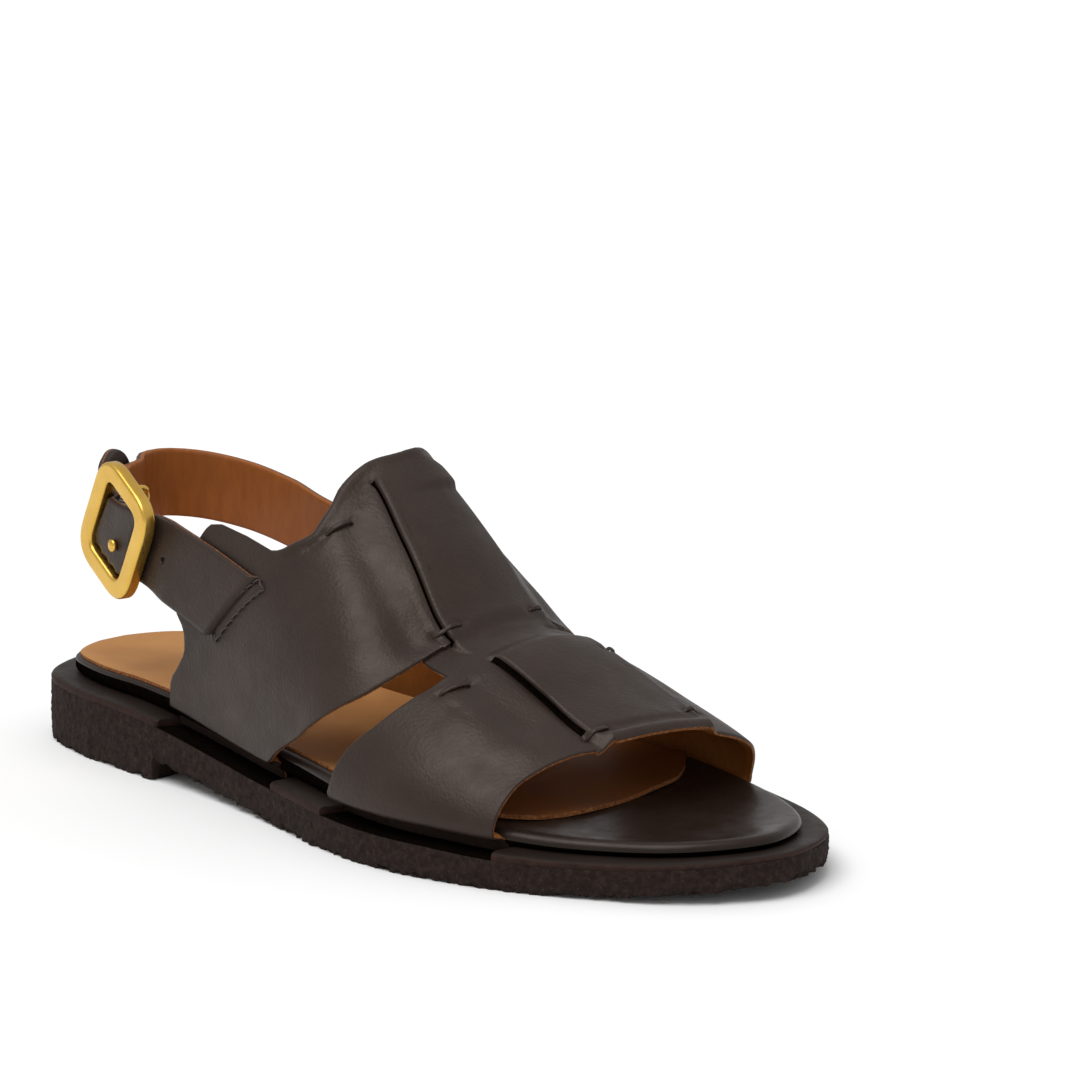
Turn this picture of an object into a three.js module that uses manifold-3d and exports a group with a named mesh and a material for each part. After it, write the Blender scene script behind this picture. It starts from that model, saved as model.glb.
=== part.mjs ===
// Open-toed fisherman sandal for a right foot, standing on its sole.
// Millimetres. +X is the toe, +Y the big-toe (medial) side, +Z up. The origin is on the floor, at the
// centre of the sole's plan box.

import * as THREE from 'three';
import Module from 'manifold-3d';
import { mergeVertices } from 'three/addons/utils/BufferGeometryUtils.js';

// Driving dimensions

const soleLength = 252;          // outsole, heel to toe
const ballWidth = 101;           // outsole at the ball
const heelHeight = 17.8;         // floor to the welt's top at the heel
const ballHeight = 10.4;         // floor to the welt's top at the ball
const breastStep = 4.8;          // how far the waist's underside stands over the heel's
const toeSpring = 4.1;           // lift of the underside at the toe
const weltThickness = 2.0;
const flange = 6.5;              // welt that shows around the footbed
const footbedHeight = 4.6;       // footbed over the welt
const footbedRound = 1.8;        // rounding of the footbed's upper edge
const sockThickness = 0.8;
const peakHeight = 87;           // floor to the top of the collar's peak
const bandWall = 1.8;            // leather of the upper, folded and lined
const panelRise = 1.5;           // the centre panel over the bands
const bandBulge = 4.6;           // bands outside the footbed's side
const tuckDepth = 1.0;           // band end under the footbed's edge
const strapWidth = 21;           // buckle strap at its slit
const strapTaper = 0.12;         // share of that width lost by the tip
const heelStrapWidth = 18.2;
const elasticWidth = 16.4;
const strapThickness = 2.0;
const elasticThickness = 1.2;
const pocketWall = 0.7;          // leather over each side of the elastic, in the end of the heel strap
const buckleWidth = 27;          // along the strap
const buckleHeight = 32;         // across the strap
const buckleBar = 5.2;
const buckleThickness = 3.8;
const buckleLean = 20;           // degrees that the frame's top leans to the toe on the strap
const buckleRaise = 2.4;         // frame's centre over the middle of the strap
const prongDiameter = 2.6;
const gap = 0.3;                 // between pieces that touch

const heelX = -soleLength / 2;
const halfBall = ballWidth / 2;

// Tables. `along` is a share of the sole's length from the heel, `across` a share of half the ball width.

// Sole outline, from the heel's back round the little-toe side to the toe and home again.
const soleOutline = [
  { along: 0.000, across: 0.00 }, { along: 0.032, across: -0.42 }, { along: 0.103, across: -0.59 },
  { along: 0.222, across: -0.67 }, { along: 0.341, across: -0.72 }, { along: 0.460, across: -0.83 },
  { along: 0.570, across: -0.965 }, { along: 0.665, across: -1.0 }, { along: 0.770, across: -0.89 },
  { along: 0.877, across: -0.65 }, { along: 0.956, across: -0.37 }, { along: 1.000, across: 0.06 },
  { along: 0.968, across: 0.50 }, { along: 0.897, across: 0.79 }, { along: 0.798, across: 0.97 },
  { along: 0.698, across: 1.0 }, { along: 0.599, across: 0.90 }, { along: 0.480, across: 0.71 },
  { along: 0.361, across: 0.59 }, { along: 0.242, across: 0.585 }, { along: 0.123, across: 0.61 },
  { along: 0.036, across: 0.45 },
];

// Side profile of the sole. `heel` blends the top from ball height to heel height, and below zero it dips
// under ball height. `spring` adds the toe's lift, `arch` lifts the underside by the breast step and `welt`
// thins the welt.
const soleProfile = [
  { along: 0.000, heel: 1.00, spring: 0.00, arch: 1.00, welt: 1.0 },
  { along: 0.175, heel: 1.00, spring: 0.00, arch: 1.00, welt: 1.0 },
  { along: 0.252, heel: 0.85, spring: 0.00, arch: 1.00, welt: 1.0 },
  { along: 0.345, heel: 0.45, spring: 0.00, arch: 0.55, welt: 1.0 },
  { along: 0.452, heel: 0.15, spring: 0.00, arch: 0.14, welt: 1.0 },
  { along: 0.532, heel: 0.09, spring: 0.00, arch: 0.02, welt: 1.0 },
  { along: 0.595, heel: 0.04, spring: 0.00, arch: 0.00, welt: 1.0 },
  { along: 0.700, heel: 0.00, spring: 0.00, arch: 0.00, welt: 1.0 },
  { along: 0.778, heel: -0.12, spring: 0.00, arch: 0.00, welt: 1.0 },
  { along: 0.830, heel: -0.16, spring: 0.00, arch: 0.00, welt: 0.9 },
  { along: 0.877, heel: -0.16, spring: 0.05, arch: 0.00, welt: 0.8 },
  { along: 0.944, heel: -0.16, spring: 0.27, arch: 0.00, welt: 0.65 },
  { along: 1.000, heel: -0.16, spring: 0.58, arch: 0.00, welt: 0.6 },
];

// Footbed height along the foot, as a share of the footbed height.
const footbedProfile = [
  { along: 0.00, height: 0.90 }, { along: 0.20, height: 1.05 }, { along: 0.42, height: 1.30 },
  { along: 0.62, height: 1.15 }, { along: 0.82, height: 0.82 }, { along: 1.00, height: 0.76 },
];

// Cross-sections of the upper. `ridge` is the instep's height as a share of the peak height and `across` its
// place. `full` and `bulge` are the section's roundness and a share of the bands' bulge on the little-toe
// side, and `fullMedial` and `bulgeMedial` are those of the big-toe side.
const upperSections = [
  { along: 0.130, ridge: 1.215, across: 0.06, full: 2.30, bulge: 0.35, fullMedial: 2.30, bulgeMedial: 0.35 },
  { along: 0.262, ridge: 1.195, across: 0.08, full: 2.30, bulge: 0.60, fullMedial: 2.30, bulgeMedial: 0.60 },
  { along: 0.381, ridge: 1.115, across: 0.12, full: 2.25, bulge: 0.95, fullMedial: 2.25, bulgeMedial: 0.95 },
  { along: 0.456, ridge: 1.000, across: 0.14, full: 2.20, bulge: 1.05, fullMedial: 2.20, bulgeMedial: 1.05 },
  { along: 0.508, ridge: 0.897, across: 0.11, full: 2.10, bulge: 1.10, fullMedial: 2.10, bulgeMedial: 1.10 },
  { along: 0.556, ridge: 0.786, across: 0.08, full: 1.95, bulge: 1.15, fullMedial: 1.95, bulgeMedial: 1.05 },
  { along: 0.611, ridge: 0.632, across: 0.06, full: 1.85, bulge: 1.15, fullMedial: 1.85, bulgeMedial: 1.00 },
  { along: 0.679, ridge: 0.554, across: 0.08, full: 1.82, bulge: 1.10, fullMedial: 1.95, bulgeMedial: 0.85 },
  { along: 0.746, ridge: 0.458, across: 0.11, full: 1.80, bulge: 1.00, fullMedial: 2.15, bulgeMedial: 0.60 },
  { along: 0.817, ridge: 0.375, across: 0.14, full: 1.80, bulge: 0.90, fullMedial: 2.35, bulgeMedial: 0.47 },
  { along: 0.865, ridge: 0.310, across: 0.15, full: 1.80, bulge: 0.80, fullMedial: 2.40, bulgeMedial: 0.47 },
];

// Edges of the bands. `girth` runs from -1 at the little-toe side's base over 0 at the ridge to 1.
const toeEdge = [
  { girth: -1.00, along: 0.779 }, { girth: -0.67, along: 0.779 }, { girth: -0.52, along: 0.785 },
  { girth: -0.37, along: 0.795 }, { girth: -0.26, along: 0.806 }, { girth: -0.08, along: 0.815 },
  { girth: 0.19, along: 0.821 }, { girth: 0.40, along: 0.823 }, { girth: 0.60, along: 0.820 },
  { girth: 0.82, along: 0.808 }, { girth: 1.00, along: 0.797 },
];
const vampRearEdge = [
  { girth: -1.00, along: 0.570 }, { girth: -0.88, along: 0.582 }, { girth: -0.78, along: 0.596 },
  { girth: -0.64, along: 0.618 }, { girth: -0.40, along: 0.642 }, { girth: 0.00, along: 0.655 },
  { girth: 0.40, along: 0.646 }, { girth: 0.64, along: 0.632 }, { girth: 0.84, along: 0.614 },
  { girth: 1.00, along: 0.600 },
];
const quarterFrontEdge = [
  { girth: -1.00, along: 0.458 }, { girth: -0.98, along: 0.468 }, { girth: -0.89, along: 0.515 },
  { girth: -0.59, along: 0.591 }, { girth: -0.39, along: 0.610 }, { girth: 0.00, along: 0.622 },
  { girth: 0.39, along: 0.612 }, { girth: 0.59, along: 0.594 }, { girth: 0.89, along: 0.526 },
  { girth: 1.00, along: 0.482 },
];
const collarEdge = [
  { girth: -1.00, along: 0.263 }, { girth: -0.97, along: 0.264 }, { girth: -0.94, along: 0.276 },
  { girth: -0.90, along: 0.288 }, { girth: -0.87, along: 0.286 }, { girth: -0.83, along: 0.268 },
  { girth: -0.76, along: 0.276 }, { girth: -0.66, along: 0.296 }, { girth: -0.61, along: 0.312 },
  { girth: -0.59, along: 0.350 }, { girth: -0.58, along: 0.398 }, { girth: -0.565, along: 0.412 },
  { girth: -0.53, along: 0.427 }, { girth: -0.42, along: 0.453 }, { girth: -0.36, along: 0.453 },
  { girth: -0.31, along: 0.447 }, { girth: -0.24, along: 0.446 }, { girth: 0.00, along: 0.451 },
  { girth: 0.24, along: 0.446 }, { girth: 0.32, along: 0.448 }, { girth: 0.40, along: 0.455 },
  { girth: 0.54, along: 0.430 }, { girth: 0.60, along: 0.400 }, { girth: 0.66, along: 0.330 },
  { girth: 0.76, along: 0.290 }, { girth: 0.88, along: 0.288 }, { girth: 0.96, along: 0.268 },
  { girth: 1.00, along: 0.263 },
];
const waistGirth = 0.375;        // half of the waist that joins the two bands
const tuckGirth = 1.3;           // where the band's end stops under the footbed

// Edges of the raised centre panel, and how much of the rise it has: none where it dips at the waist.
const panelEdges = [
  { along: 0.440, lateral: 0.15, medial: 0.15, rise: 1 },
  { along: 0.472, lateral: 0.16, medial: 0.17, rise: 1 },
  { along: 0.529, lateral: 0.20, medial: 0.20, rise: 1 },
  { along: 0.607, lateral: 0.25, medial: 0.23, rise: 1 },
  { along: 0.625, lateral: 0.25, medial: 0.25, rise: 0 },
  { along: 0.648, lateral: 0.23, medial: 0.27, rise: 0 },
  { along: 0.665, lateral: 0.21, medial: 0.27, rise: 1 },
  { along: 0.722, lateral: 0.22, medial: 0.27, rise: 1 },
  { along: 0.785, lateral: 0.26, medial: 0.27, rise: 1 },
  { along: 0.840, lateral: 0.27, medial: 0.27, rise: 1 },
];

// Front edge of the tan sock lining, from the little-toe side to the big-toe side of the footbed.
const sockFront = [
  { share: 0.00, along: 0.732 }, { share: 0.08, along: 0.752 }, { share: 0.17, along: 0.772 },
  { share: 0.33, along: 0.782 }, { share: 0.56, along: 0.776 }, { share: 0.79, along: 0.762 },
  { share: 0.92, along: 0.740 }, { share: 1.00, along: 0.716 },
];

// Middle line of the buckle strap, from its slit in the quarter to its free tip, and of the heel strap,
// from its slit round the heel. `height` is a share of the peak height. `beside` is how far the strap
// follows the quarter's side: 1 lies on it and 0 keeps to `across`.
const buckleStrapPath = [
  { along: 0.393, across: -0.690, height: 0.564, beside: 1 },
  { along: 0.321, across: -0.626, height: 0.616, beside: 1 },
  { along: 0.262, across: -0.590, height: 0.655, beside: 1 },
  { along: 0.222, across: -0.566, height: 0.682, beside: 0 },
  { along: 0.183, across: -0.533, height: 0.692, beside: 0 },
  { along: 0.145, across: -0.491, height: 0.719, beside: 0 },
  { along: 0.118, across: -0.412, height: 0.755, beside: 0 },
  { along: 0.101, across: -0.290, height: 0.794, beside: 0 },
  { along: 0.088, across: -0.120, height: 0.828, beside: 0 },
];
const heelStrapPath = [
  { along: 0.393, across: 0.567, height: 0.564, beside: 1 },
  { along: 0.321, across: 0.519, height: 0.612, beside: 1 },
  { along: 0.262, across: 0.504, height: 0.650, beside: 1 },
  { along: 0.202, across: 0.502, height: 0.689, beside: 0 },
  { along: 0.143, across: 0.470, height: 0.719, beside: 0 },
  { along: 0.098, across: 0.350, height: 0.742, beside: 0 },
  { along: 0.076, across: 0.180, height: 0.754, beside: 0 },
  { along: 0.080, across: 0.020, height: 0.756, beside: 0 },
  { along: 0.099, across: -0.090, height: 0.752, beside: 0 },
  { along: 0.107, across: -0.206, height: 0.748, beside: 0 },
  { along: 0.117, across: -0.299, height: 0.744, beside: 0 },
  { along: 0.128, across: -0.370, height: 0.740, beside: 0 },
];
const slitSlant = 6;             // how far a strap's upper corner runs ahead of its middle at the slit
const slantLength = 34;          // stretch over which that slant dies away
const elasticOverlap = 7;        // elastic inside the end of the heel strap
const elasticFlat = 6;           // elastic that lies flat behind the bar
const buckleSeat = 0.60;         // share of the buckle strap's length where the buckle sits
const prongDrop = 3.4;           // prong below the middle of the frame
const prongAhead = 1.8;          // and before it, toward the toe

const leatherDark = { color: 0x3e3632, roughness: 0.5, metalness: 0 };
const leatherSock = { color: 0xb5824f, roughness: 0.7, metalness: 0 };
const crepeBrown = { color: 0x2e2522, roughness: 0.9, metalness: 0 };
const elasticBeige = { color: 0xcabfb0, roughness: 0.9, metalness: 0 };
const satinBrass = { color: 0xc9a64b, roughness: 0.35, metalness: 1 };

// Smooth curve through one column of a table, without overshoot

function column(rows, name, key = 'along') {
  const xs = rows.map((row) => row[key]);
  const ys = rows.map((row) => row[name]);
  const slopes = ys.slice(1).map((y, i) => (y - ys[i]) / (xs[i + 1] - xs[i]));
  const tangents = ys.map((_, i) => {
    if (i === 0) return slopes[0];
    if (i === ys.length - 1) return slopes[i - 1];
    const [a, b] = [slopes[i - 1], slopes[i]];
    return a * b <= 0 ? 0 : (2 * a * b) / (a + b);
  });
  return (x) => {
    if (x <= xs[0]) return ys[0];
    if (x >= xs[xs.length - 1]) return ys[ys.length - 1];
    const i = xs.findIndex((value) => value > x) - 1;
    const h = xs[i + 1] - xs[i];
    const t = (x - xs[i]) / h;
    return THREE.MathUtils.lerp(ys[i], ys[i + 1], t * t * (3 - 2 * t))
      + h * t * (1 - t) * ((1 - t) * tangents[i] - t * tangents[i + 1]);
  };
}

const shareOf = (x) => (x - heelX) / soleLength;
const alongAt = (share) => heelX + share * soleLength;
const lerp = THREE.MathUtils.lerp;

// Heights of the sole, the footbed and the upper along the foot

const heelShare = column(soleProfile, 'heel');
const springShare = column(soleProfile, 'spring');
const archShare = column(soleProfile, 'arch');
const weltShare = column(soleProfile, 'welt');
const footbedShare = column(footbedProfile, 'height');
const breastShare = 0.252;       // the heel's front face
const springStart = 0.778;       // where the underside leaves the floor

const weltTop = (x) => ballHeight + (heelHeight - ballHeight) * heelShare(shareOf(x))
  + toeSpring * springShare(shareOf(x));
const soleTop = (x) => weltTop(x) - weltThickness * weltShare(shareOf(x));
const footbedTop = (x) => weltTop(x) + footbedHeight * footbedShare(shareOf(x));

function soleUnder(x) {
  const share = shareOf(x);
  if (share <= breastShare) return 0;
  const spring = Math.max(0, share - springStart) / (1 - springStart);
  return breastStep * archShare(share) + toeSpring * spring ** 2;
}

// Outline of the sole as a dense closed loop, and the same loop moved inward

const loopSteps = 12;
const loopCount = soleOutline.length * loopSteps;
const toeIndex = soleOutline.findIndex((row) => row.along === 1) * loopSteps;
const outlineLoop = new THREE.CatmullRomCurve3(
  soleOutline.map((row) => new THREE.Vector3(alongAt(row.along), row.across * halfBall, 0)),
  true, 'centripetal',
).getPoints(loopCount).slice(0, loopCount);

function loopAt(index, inset) {
  const at = (k) => outlineLoop[((k % loopCount) + loopCount) % loopCount];
  const base = Math.floor(index);
  const point = at(base).clone().lerp(at(base + 1), index - base);
  const run = at(base + 2).clone().sub(at(base - 1)).normalize();
  return point.add(new THREE.Vector3(-run.y, run.x, 0).multiplyScalar(inset));
}

// Place in the loop, or in its inset copy, where a side reaches x. Side -1 is the little-toe side.
function loopIndex(side, x, inset = 0) {
  let [low, high] = side < 0 ? [0, toeIndex] : [loopCount, toeIndex];
  for (let step = 0; step < 30; step += 1) {
    const middle = (low + high) / 2;
    if (loopAt(middle, inset).x < x) low = middle;
    else high = middle;
  }
  return (low + high) / 2;
}

// Edge of the footbed on one side, read off as a table once
function edgeTable(side) {
  const rows = [];
  for (let step = 0; step <= 60; step += 1) {
    const point = loopAt(lerp(side < 0 ? 0 : loopCount, toeIndex, step / 60), flange);
    if (rows.length === 0 || point.x > rows[rows.length - 1].x + 0.2) rows.push({ x: point.x, y: point.y });
  }
  return column(rows, 'y', 'x');
}
const footEdges = { '-1': edgeTable(-1), 1: edgeTable(1) };
const footEdge = (x, side) => footEdges[side](x);

// Outer surface of the upper

const ridgeShare = column(upperSections, 'ridge');
const ridgeHeight = (share) => peakHeight * ridgeShare(share) - panelRise;
const ridgeAcross = column(upperSections, 'across');
const sectionPowers = { '-1': column(upperSections, 'full'), 1: column(upperSections, 'fullMedial') };
const bulgeShares = { '-1': column(upperSections, 'bulge'), 1: column(upperSections, 'bulgeMedial') };
const bandFoot = 4.0;            // height over the welt where the bands start to curl in
const tuckPower = 2.6;

function upperPoint(x, girth) {
  const side = girth < 0 ? -1 : 1;
  const share = shareOf(x);
  const foot = footEdge(x, side);
  const baseY = foot + side * bandBulge * bulgeShares[side](share);
  const baseZ = weltTop(x) + bandFoot;
  const turn = Math.abs(girth);
  if (turn <= 1) {
    const angle = (1 - turn) * Math.PI / 2;
    const power = 2 / sectionPowers[side](share);
    const ridgeY = halfBall * ridgeAcross(share);
    const ridgeZ = ridgeHeight(share);
    return new THREE.Vector3(
      x,
      lerp(ridgeY, baseY, Math.max(Math.cos(angle), 0) ** power),
      lerp(baseZ, ridgeZ, Math.max(Math.sin(angle), 0) ** power),
    );
  }
  const angle = Math.min((turn - 1) / (tuckGirth - 1), 1) * Math.PI / 2;
  const power = 2 / tuckPower;
  const tuckZ = soleTop(x) + gap;
  return new THREE.Vector3(
    x,
    lerp(foot - side * tuckDepth, baseY, Math.max(Math.cos(angle), 0) ** power),
    lerp(baseZ, tuckZ, Math.max(Math.sin(angle), 0) ** power),
  );
}

// Across position of the upper's side at a height, continued round the heel where no quarter stands
function sideAcross(x, z, side) {
  const share = shareOf(x);
  const baseY = footEdge(x, side) + side * bandBulge * bulgeShares[side](share);
  const baseZ = weltTop(x) + bandFoot;
  const power = sectionPowers[side](share);
  const rise = Math.min(Math.max((z - baseZ) / (ridgeHeight(share) - baseZ), 0), 1);
  return lerp(halfBall * ridgeAcross(share), baseY, (1 - rise ** power) ** (1 / power));
}

function upperNormal(x, girth) {
  const dx = upperPoint(x + 0.5, girth).sub(upperPoint(x - 0.5, girth));
  const dg = upperPoint(x, girth + 0.005).sub(upperPoint(x, girth - 0.005));
  return dx.cross(dg).normalize();
}

// Closed meshes from rings and sheets

function meshFrom(triangles) {
  const geometry = new THREE.BufferGeometry();
  const values = triangles.flatMap((corner) => corner.toArray());
  geometry.setAttribute('position', new THREE.Float32BufferAttribute(values, 3));
  const merged = mergeVertices(geometry, 1e-4);
  merged.computeVertexNormals();
  return merged;
}

const quad = (a, b, c, d) => [a, b, c, a, c, d];

// Solid between rings of equal count, from the lowest ring to the highest. Each cap runs across from a
// little-toe side point to its partner on the big-toe side.
function ringSolid(rings) {
  const count = rings[0].length;
  const half = count / 2;
  const triangles = [];
  rings.slice(1).forEach((ring, level) => {
    const below = rings[level];
    for (let i = 0; i < count; i += 1) {
      const j = (i + 1) % count;
      triangles.push(...quad(below[i], below[j], ring[j], ring[i]));
    }
  });
  const cap = (ring, up) => {
    const strip = [];
    strip.push(ring[0], ring[1], ring[count - 1]);
    for (let i = 1; i < half - 1; i += 1) {
      strip.push(...quad(ring[i], ring[i + 1], ring[count - i - 1], ring[count - i]));
    }
    strip.push(ring[half - 1], ring[half], ring[half + 1]);
    if (!up) strip.reverse();
    return strip;
  };
  triangles.push(...cap(rings[0], false), ...cap(rings[rings.length - 1], true));
  return meshFrom(triangles);
}

// Solid between an outer and an inner grid of points. Cells that are absent stay open.
function sheetSolid(outer, inner, present = () => true) {
  const rows = outer.length - 1;
  const columns = outer[0].length - 1;
  const has = (i, j) => i >= 0 && j >= 0 && i < rows && j < columns && present(i, j);
  const triangles = [];
  for (let i = 0; i < rows; i += 1) {
    for (let j = 0; j < columns; j += 1) {
      if (!has(i, j)) continue;
      const ends = [[i, j], [i + 1, j], [i + 1, j + 1], [i, j + 1]];
      const out = ends.map(([a, b]) => outer[a][b]);
      const back = ends.map(([a, b]) => inner[a][b]);
      triangles.push(...quad(...out), ...quad(...back.slice().reverse()));
      const beyond = [[i, j - 1], [i + 1, j], [i, j + 1], [i - 1, j]];
      beyond.forEach(([a, b], k) => {
        const next = (k + 1) % 4;
        if (!has(a, b)) triangles.push(...quad(out[k], back[k], back[next], out[next]));
      });
    }
  }
  return meshFrom(triangles);
}

// Stations round the sole, with the bands' places as keys

const bandClearance = 0.8;
const endOf = (rows, side) => alongAt(column(rows, 'along', 'girth')(side));
const stepLength = 0.3;
const stationSteps = [8, 1, 1, 1, 5, 1, 4, 1, 6, 1, 9];

function bandNotches(side) {
  return [
    [endOf(collarEdge, side) - bandClearance, endOf(quarterFrontEdge, side) + bandClearance],
    [endOf(vampRearEdge, side) - bandClearance, endOf(toeEdge, side) + bandClearance],
  ];
}

function sideStations(side) {
  const [quarter, vamp] = bandNotches(side);
  const breast = alongAt(breastShare);
  const keys = [
    { x: heelX, out: true },
    { x: breast - stepLength / 2, out: true }, { x: breast + stepLength / 2, out: true },
    { x: quarter[0] - stepLength, out: true }, { x: quarter[0], out: false },
    { x: quarter[1], out: false }, { x: quarter[1] + stepLength, out: true },
    { x: vamp[0] - stepLength, out: true }, { x: vamp[0], out: false },
    { x: vamp[1], out: false }, { x: vamp[1] + stepLength, out: true },
    { x: -heelX, out: true },
  ];
  const ends = side < 0 ? [0, toeIndex] : [loopCount, toeIndex];
  const indexOf = (key, k) => {
    if (k === 0) return ends[0];
    return k === keys.length - 1 ? ends[1] : loopIndex(side, key.x);
  };
  const stations = [{ side, index: ends[0], notched: false }];
  for (let k = 0; k < stationSteps.length; k += 1) {
    const from = indexOf(keys[k], k);
    const to = indexOf(keys[k + 1], k + 1);
    for (let step = 1; step <= stationSteps[k]; step += 1) {
      const notched = step === stationSteps[k] ? !keys[k + 1].out : !keys[k].out;
      stations.push({ side, index: lerp(from, to, step / stationSteps[k]), notched });
    }
  }
  return stations;
}

const lateralStations = sideStations(-1);
const medialStations = sideStations(1);
const ringStations = [...lateralStations, ...medialStations.slice(1, -1).reverse()];

// Ring at an inset, with its height from a function of x
function ring(inset, height) {
  return ringStations.map(({ index }) => {
    const point = loopAt(index, inset);
    return point.setZ(height(point.x));
  });
}

// The same ring stepped further in where the bands pass, with the step square to the foot
function notchedRing(inset, height, notchInset) {
  return ringStations.map(({ side, index, notched }) => {
    const edge = loopAt(index, inset);
    const point = notched ? loopAt(loopIndex(side, edge.x, notchInset), notchInset) : edge;
    return point.setZ(height(point.x));
  });
}

// Sole pieces

const soleEase = 1.2;            // small rounding of the outsole's lower edge
function outsole() {
  return ringSolid([
    ring(soleEase, soleUnder),
    ring(0, (x) => soleUnder(x) + soleEase),
    ring(0, soleTop),
  ]);
}

function welt() {
  const notch = flange + tuckDepth + gap + 0.6;
  const lower = (x) => soleTop(x) + gap;
  return ringSolid([notchedRing(gap, lower, notch), notchedRing(gap, weltTop, notch)]);
}

function footbed() {
  const lower = (x) => weltTop(x) + gap;
  return ringSolid([
    ring(flange + footbedRound * 0.8, lower),
    ring(flange, (x) => lower(x) + footbedRound * 0.6),
    ring(flange, (x) => footbedTop(x) - footbedRound),
    ring(flange + footbedRound * 0.3, (x) => footbedTop(x) - footbedRound * 0.3),
    ring(flange + footbedRound, footbedTop),
  ]);
}

const sockInset = 1.0;           // dark rim of the footbed beside the sock
const sockRows = 30;
const sockColumns = 12;
function sockLining() {
  const front = column(sockFront, 'along', 'share');
  const inset = flange + footbedRound + sockInset;
  const grid = (lift) => Array.from({ length: sockRows + 1 }, (_, i) => (
    Array.from({ length: sockColumns + 1 }, (_, j) => {
      const share = j / sockColumns;
      const reach = Math.sin((i / sockRows) * Math.PI / 2 * 0.999) ** 2;
      const stretch = lerp(i / sockRows, reach, 0.5 * (1 - i / sockRows));
      const end = alongAt(front(share));
      const heel = loopAt(0, inset).x;
      const x = lerp(heel + 0.5, end, stretch);
      const lateral = loopAt(loopIndex(-1, x, inset), inset);
      const medial = loopAt(loopIndex(1, x, inset), inset);
      return new THREE.Vector3(x, lerp(lateral.y, medial.y, share), footbedTop(x) + gap + lift);
    })
  ));
  return sheetSolid(grid(sockThickness), grid(0));
}

// Upper: one wall from the toe edge to the collar, open at both sides between the bands

const panelMark = 0.25;          // the mark that follows the panel's edge
const girthMarks = [
  0, 0.07, 0.14, 0.20, panelMark, 0.262, 0.30, 0.34, waistGirth, 0.42, 0.47, 0.52, 0.555, 0.575, 0.59, 0.61,
  0.64, 0.68, 0.73, 0.78, 0.82, 0.85, 0.88, 0.91, 0.94, 0.97, 1.0, 1.05, 1.12, 1.20, tuckGirth,
];
const bandRows = 10;
const waistRows = 4;

const panelLateral = column(panelEdges, 'lateral');
const panelMedial = column(panelEdges, 'medial');
const panelLift = column(panelEdges, 'rise');

// Girth of a mark at x: marks near the ridge spread with the panel, and those past the waist stay
function markGirth(mark, x) {
  const size = Math.abs(mark);
  if (size >= waistGirth) return mark;
  const edge = (mark < 0 ? panelLateral : panelMedial)(shareOf(x));
  const moved = size <= panelMark
    ? (size / panelMark) * edge
    : lerp(edge, waistGirth, (size - panelMark) / (waistGirth - panelMark));
  return Math.sign(mark) * moved;
}

function upper() {
  const marks = [...girthMarks.slice(1).reverse().map((mark) => -mark), ...girthMarks];
  const edges = [collarEdge, quarterFrontEdge, vampRearEdge, toeEdge]
    .map((rows) => column(rows, 'along', 'girth'));
  const parts = [bandRows, waistRows, bandRows];
  const stations = [{ part: 0, share: 0 }];
  parts.forEach((count, part) => {
    for (let step = 1; step <= count; step += 1) stations.push({ part, share: step / count });
  });
  const point = (station, mark, inward) => {
    const from = alongAt(edges[station.part](mark));
    const to = alongAt(edges[station.part + 1](mark));
    const x = lerp(from, to, station.share);
    const girth = markGirth(mark, x);
    const onPanel = Math.abs(mark) <= panelMark;
    const lift = onPanel ? panelRise * panelLift(shareOf(x)) : 0;
    return upperPoint(x, girth).addScaledVector(upperNormal(x, girth), inward ? -bandWall : lift);
  };
  const grid = (inward) => stations.map((station) => marks.map((mark) => point(station, mark, inward)));
  const present = (i, j) => {
    const inWaist = i >= bandRows && i < bandRows + waistRows;
    return !inWaist || Math.max(Math.abs(marks[j]), Math.abs(marks[j + 1])) <= waistGirth;
  };
  return sheetSolid(grid(false), grid(true), present);
}

// Straps round the heel

// Middle line of a strap. Where it lies beside the quarter its points take the quarter's own side.
function strapLine(rows, side) {
  const offset = side * (gap + strapThickness / 2);
  const points = rows.map((row) => {
    const x = alongAt(row.along);
    const z = peakHeight * row.height;
    const y = lerp(row.across * halfBall, sideAcross(x, z, side) + offset, row.beside);
    return new THREE.Vector3(x, y, z);
  });
  return new THREE.CatmullRomCurve3(points, false, 'centripetal');
}

// Strap at a distance along its line: place, outward normal and upward width
function strapFrame(line, distance, side) {
  const share = THREE.MathUtils.clamp(distance / line.getLength(), 0, 1);
  const place = line.getPointAt(share);
  const run = line.getTangentAt(share);
  const normal = new THREE.Vector3(-run.y, run.x, 0).normalize().multiplyScalar(-side);
  const width = new THREE.Vector3().crossVectors(run, normal).normalize();
  if (width.z < 0) width.negate();
  return { place, run, normal, width };
}

const strapRowLength = 4;
const tipTurns = [0.25, 0.5, 0.75, 0.93];

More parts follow.
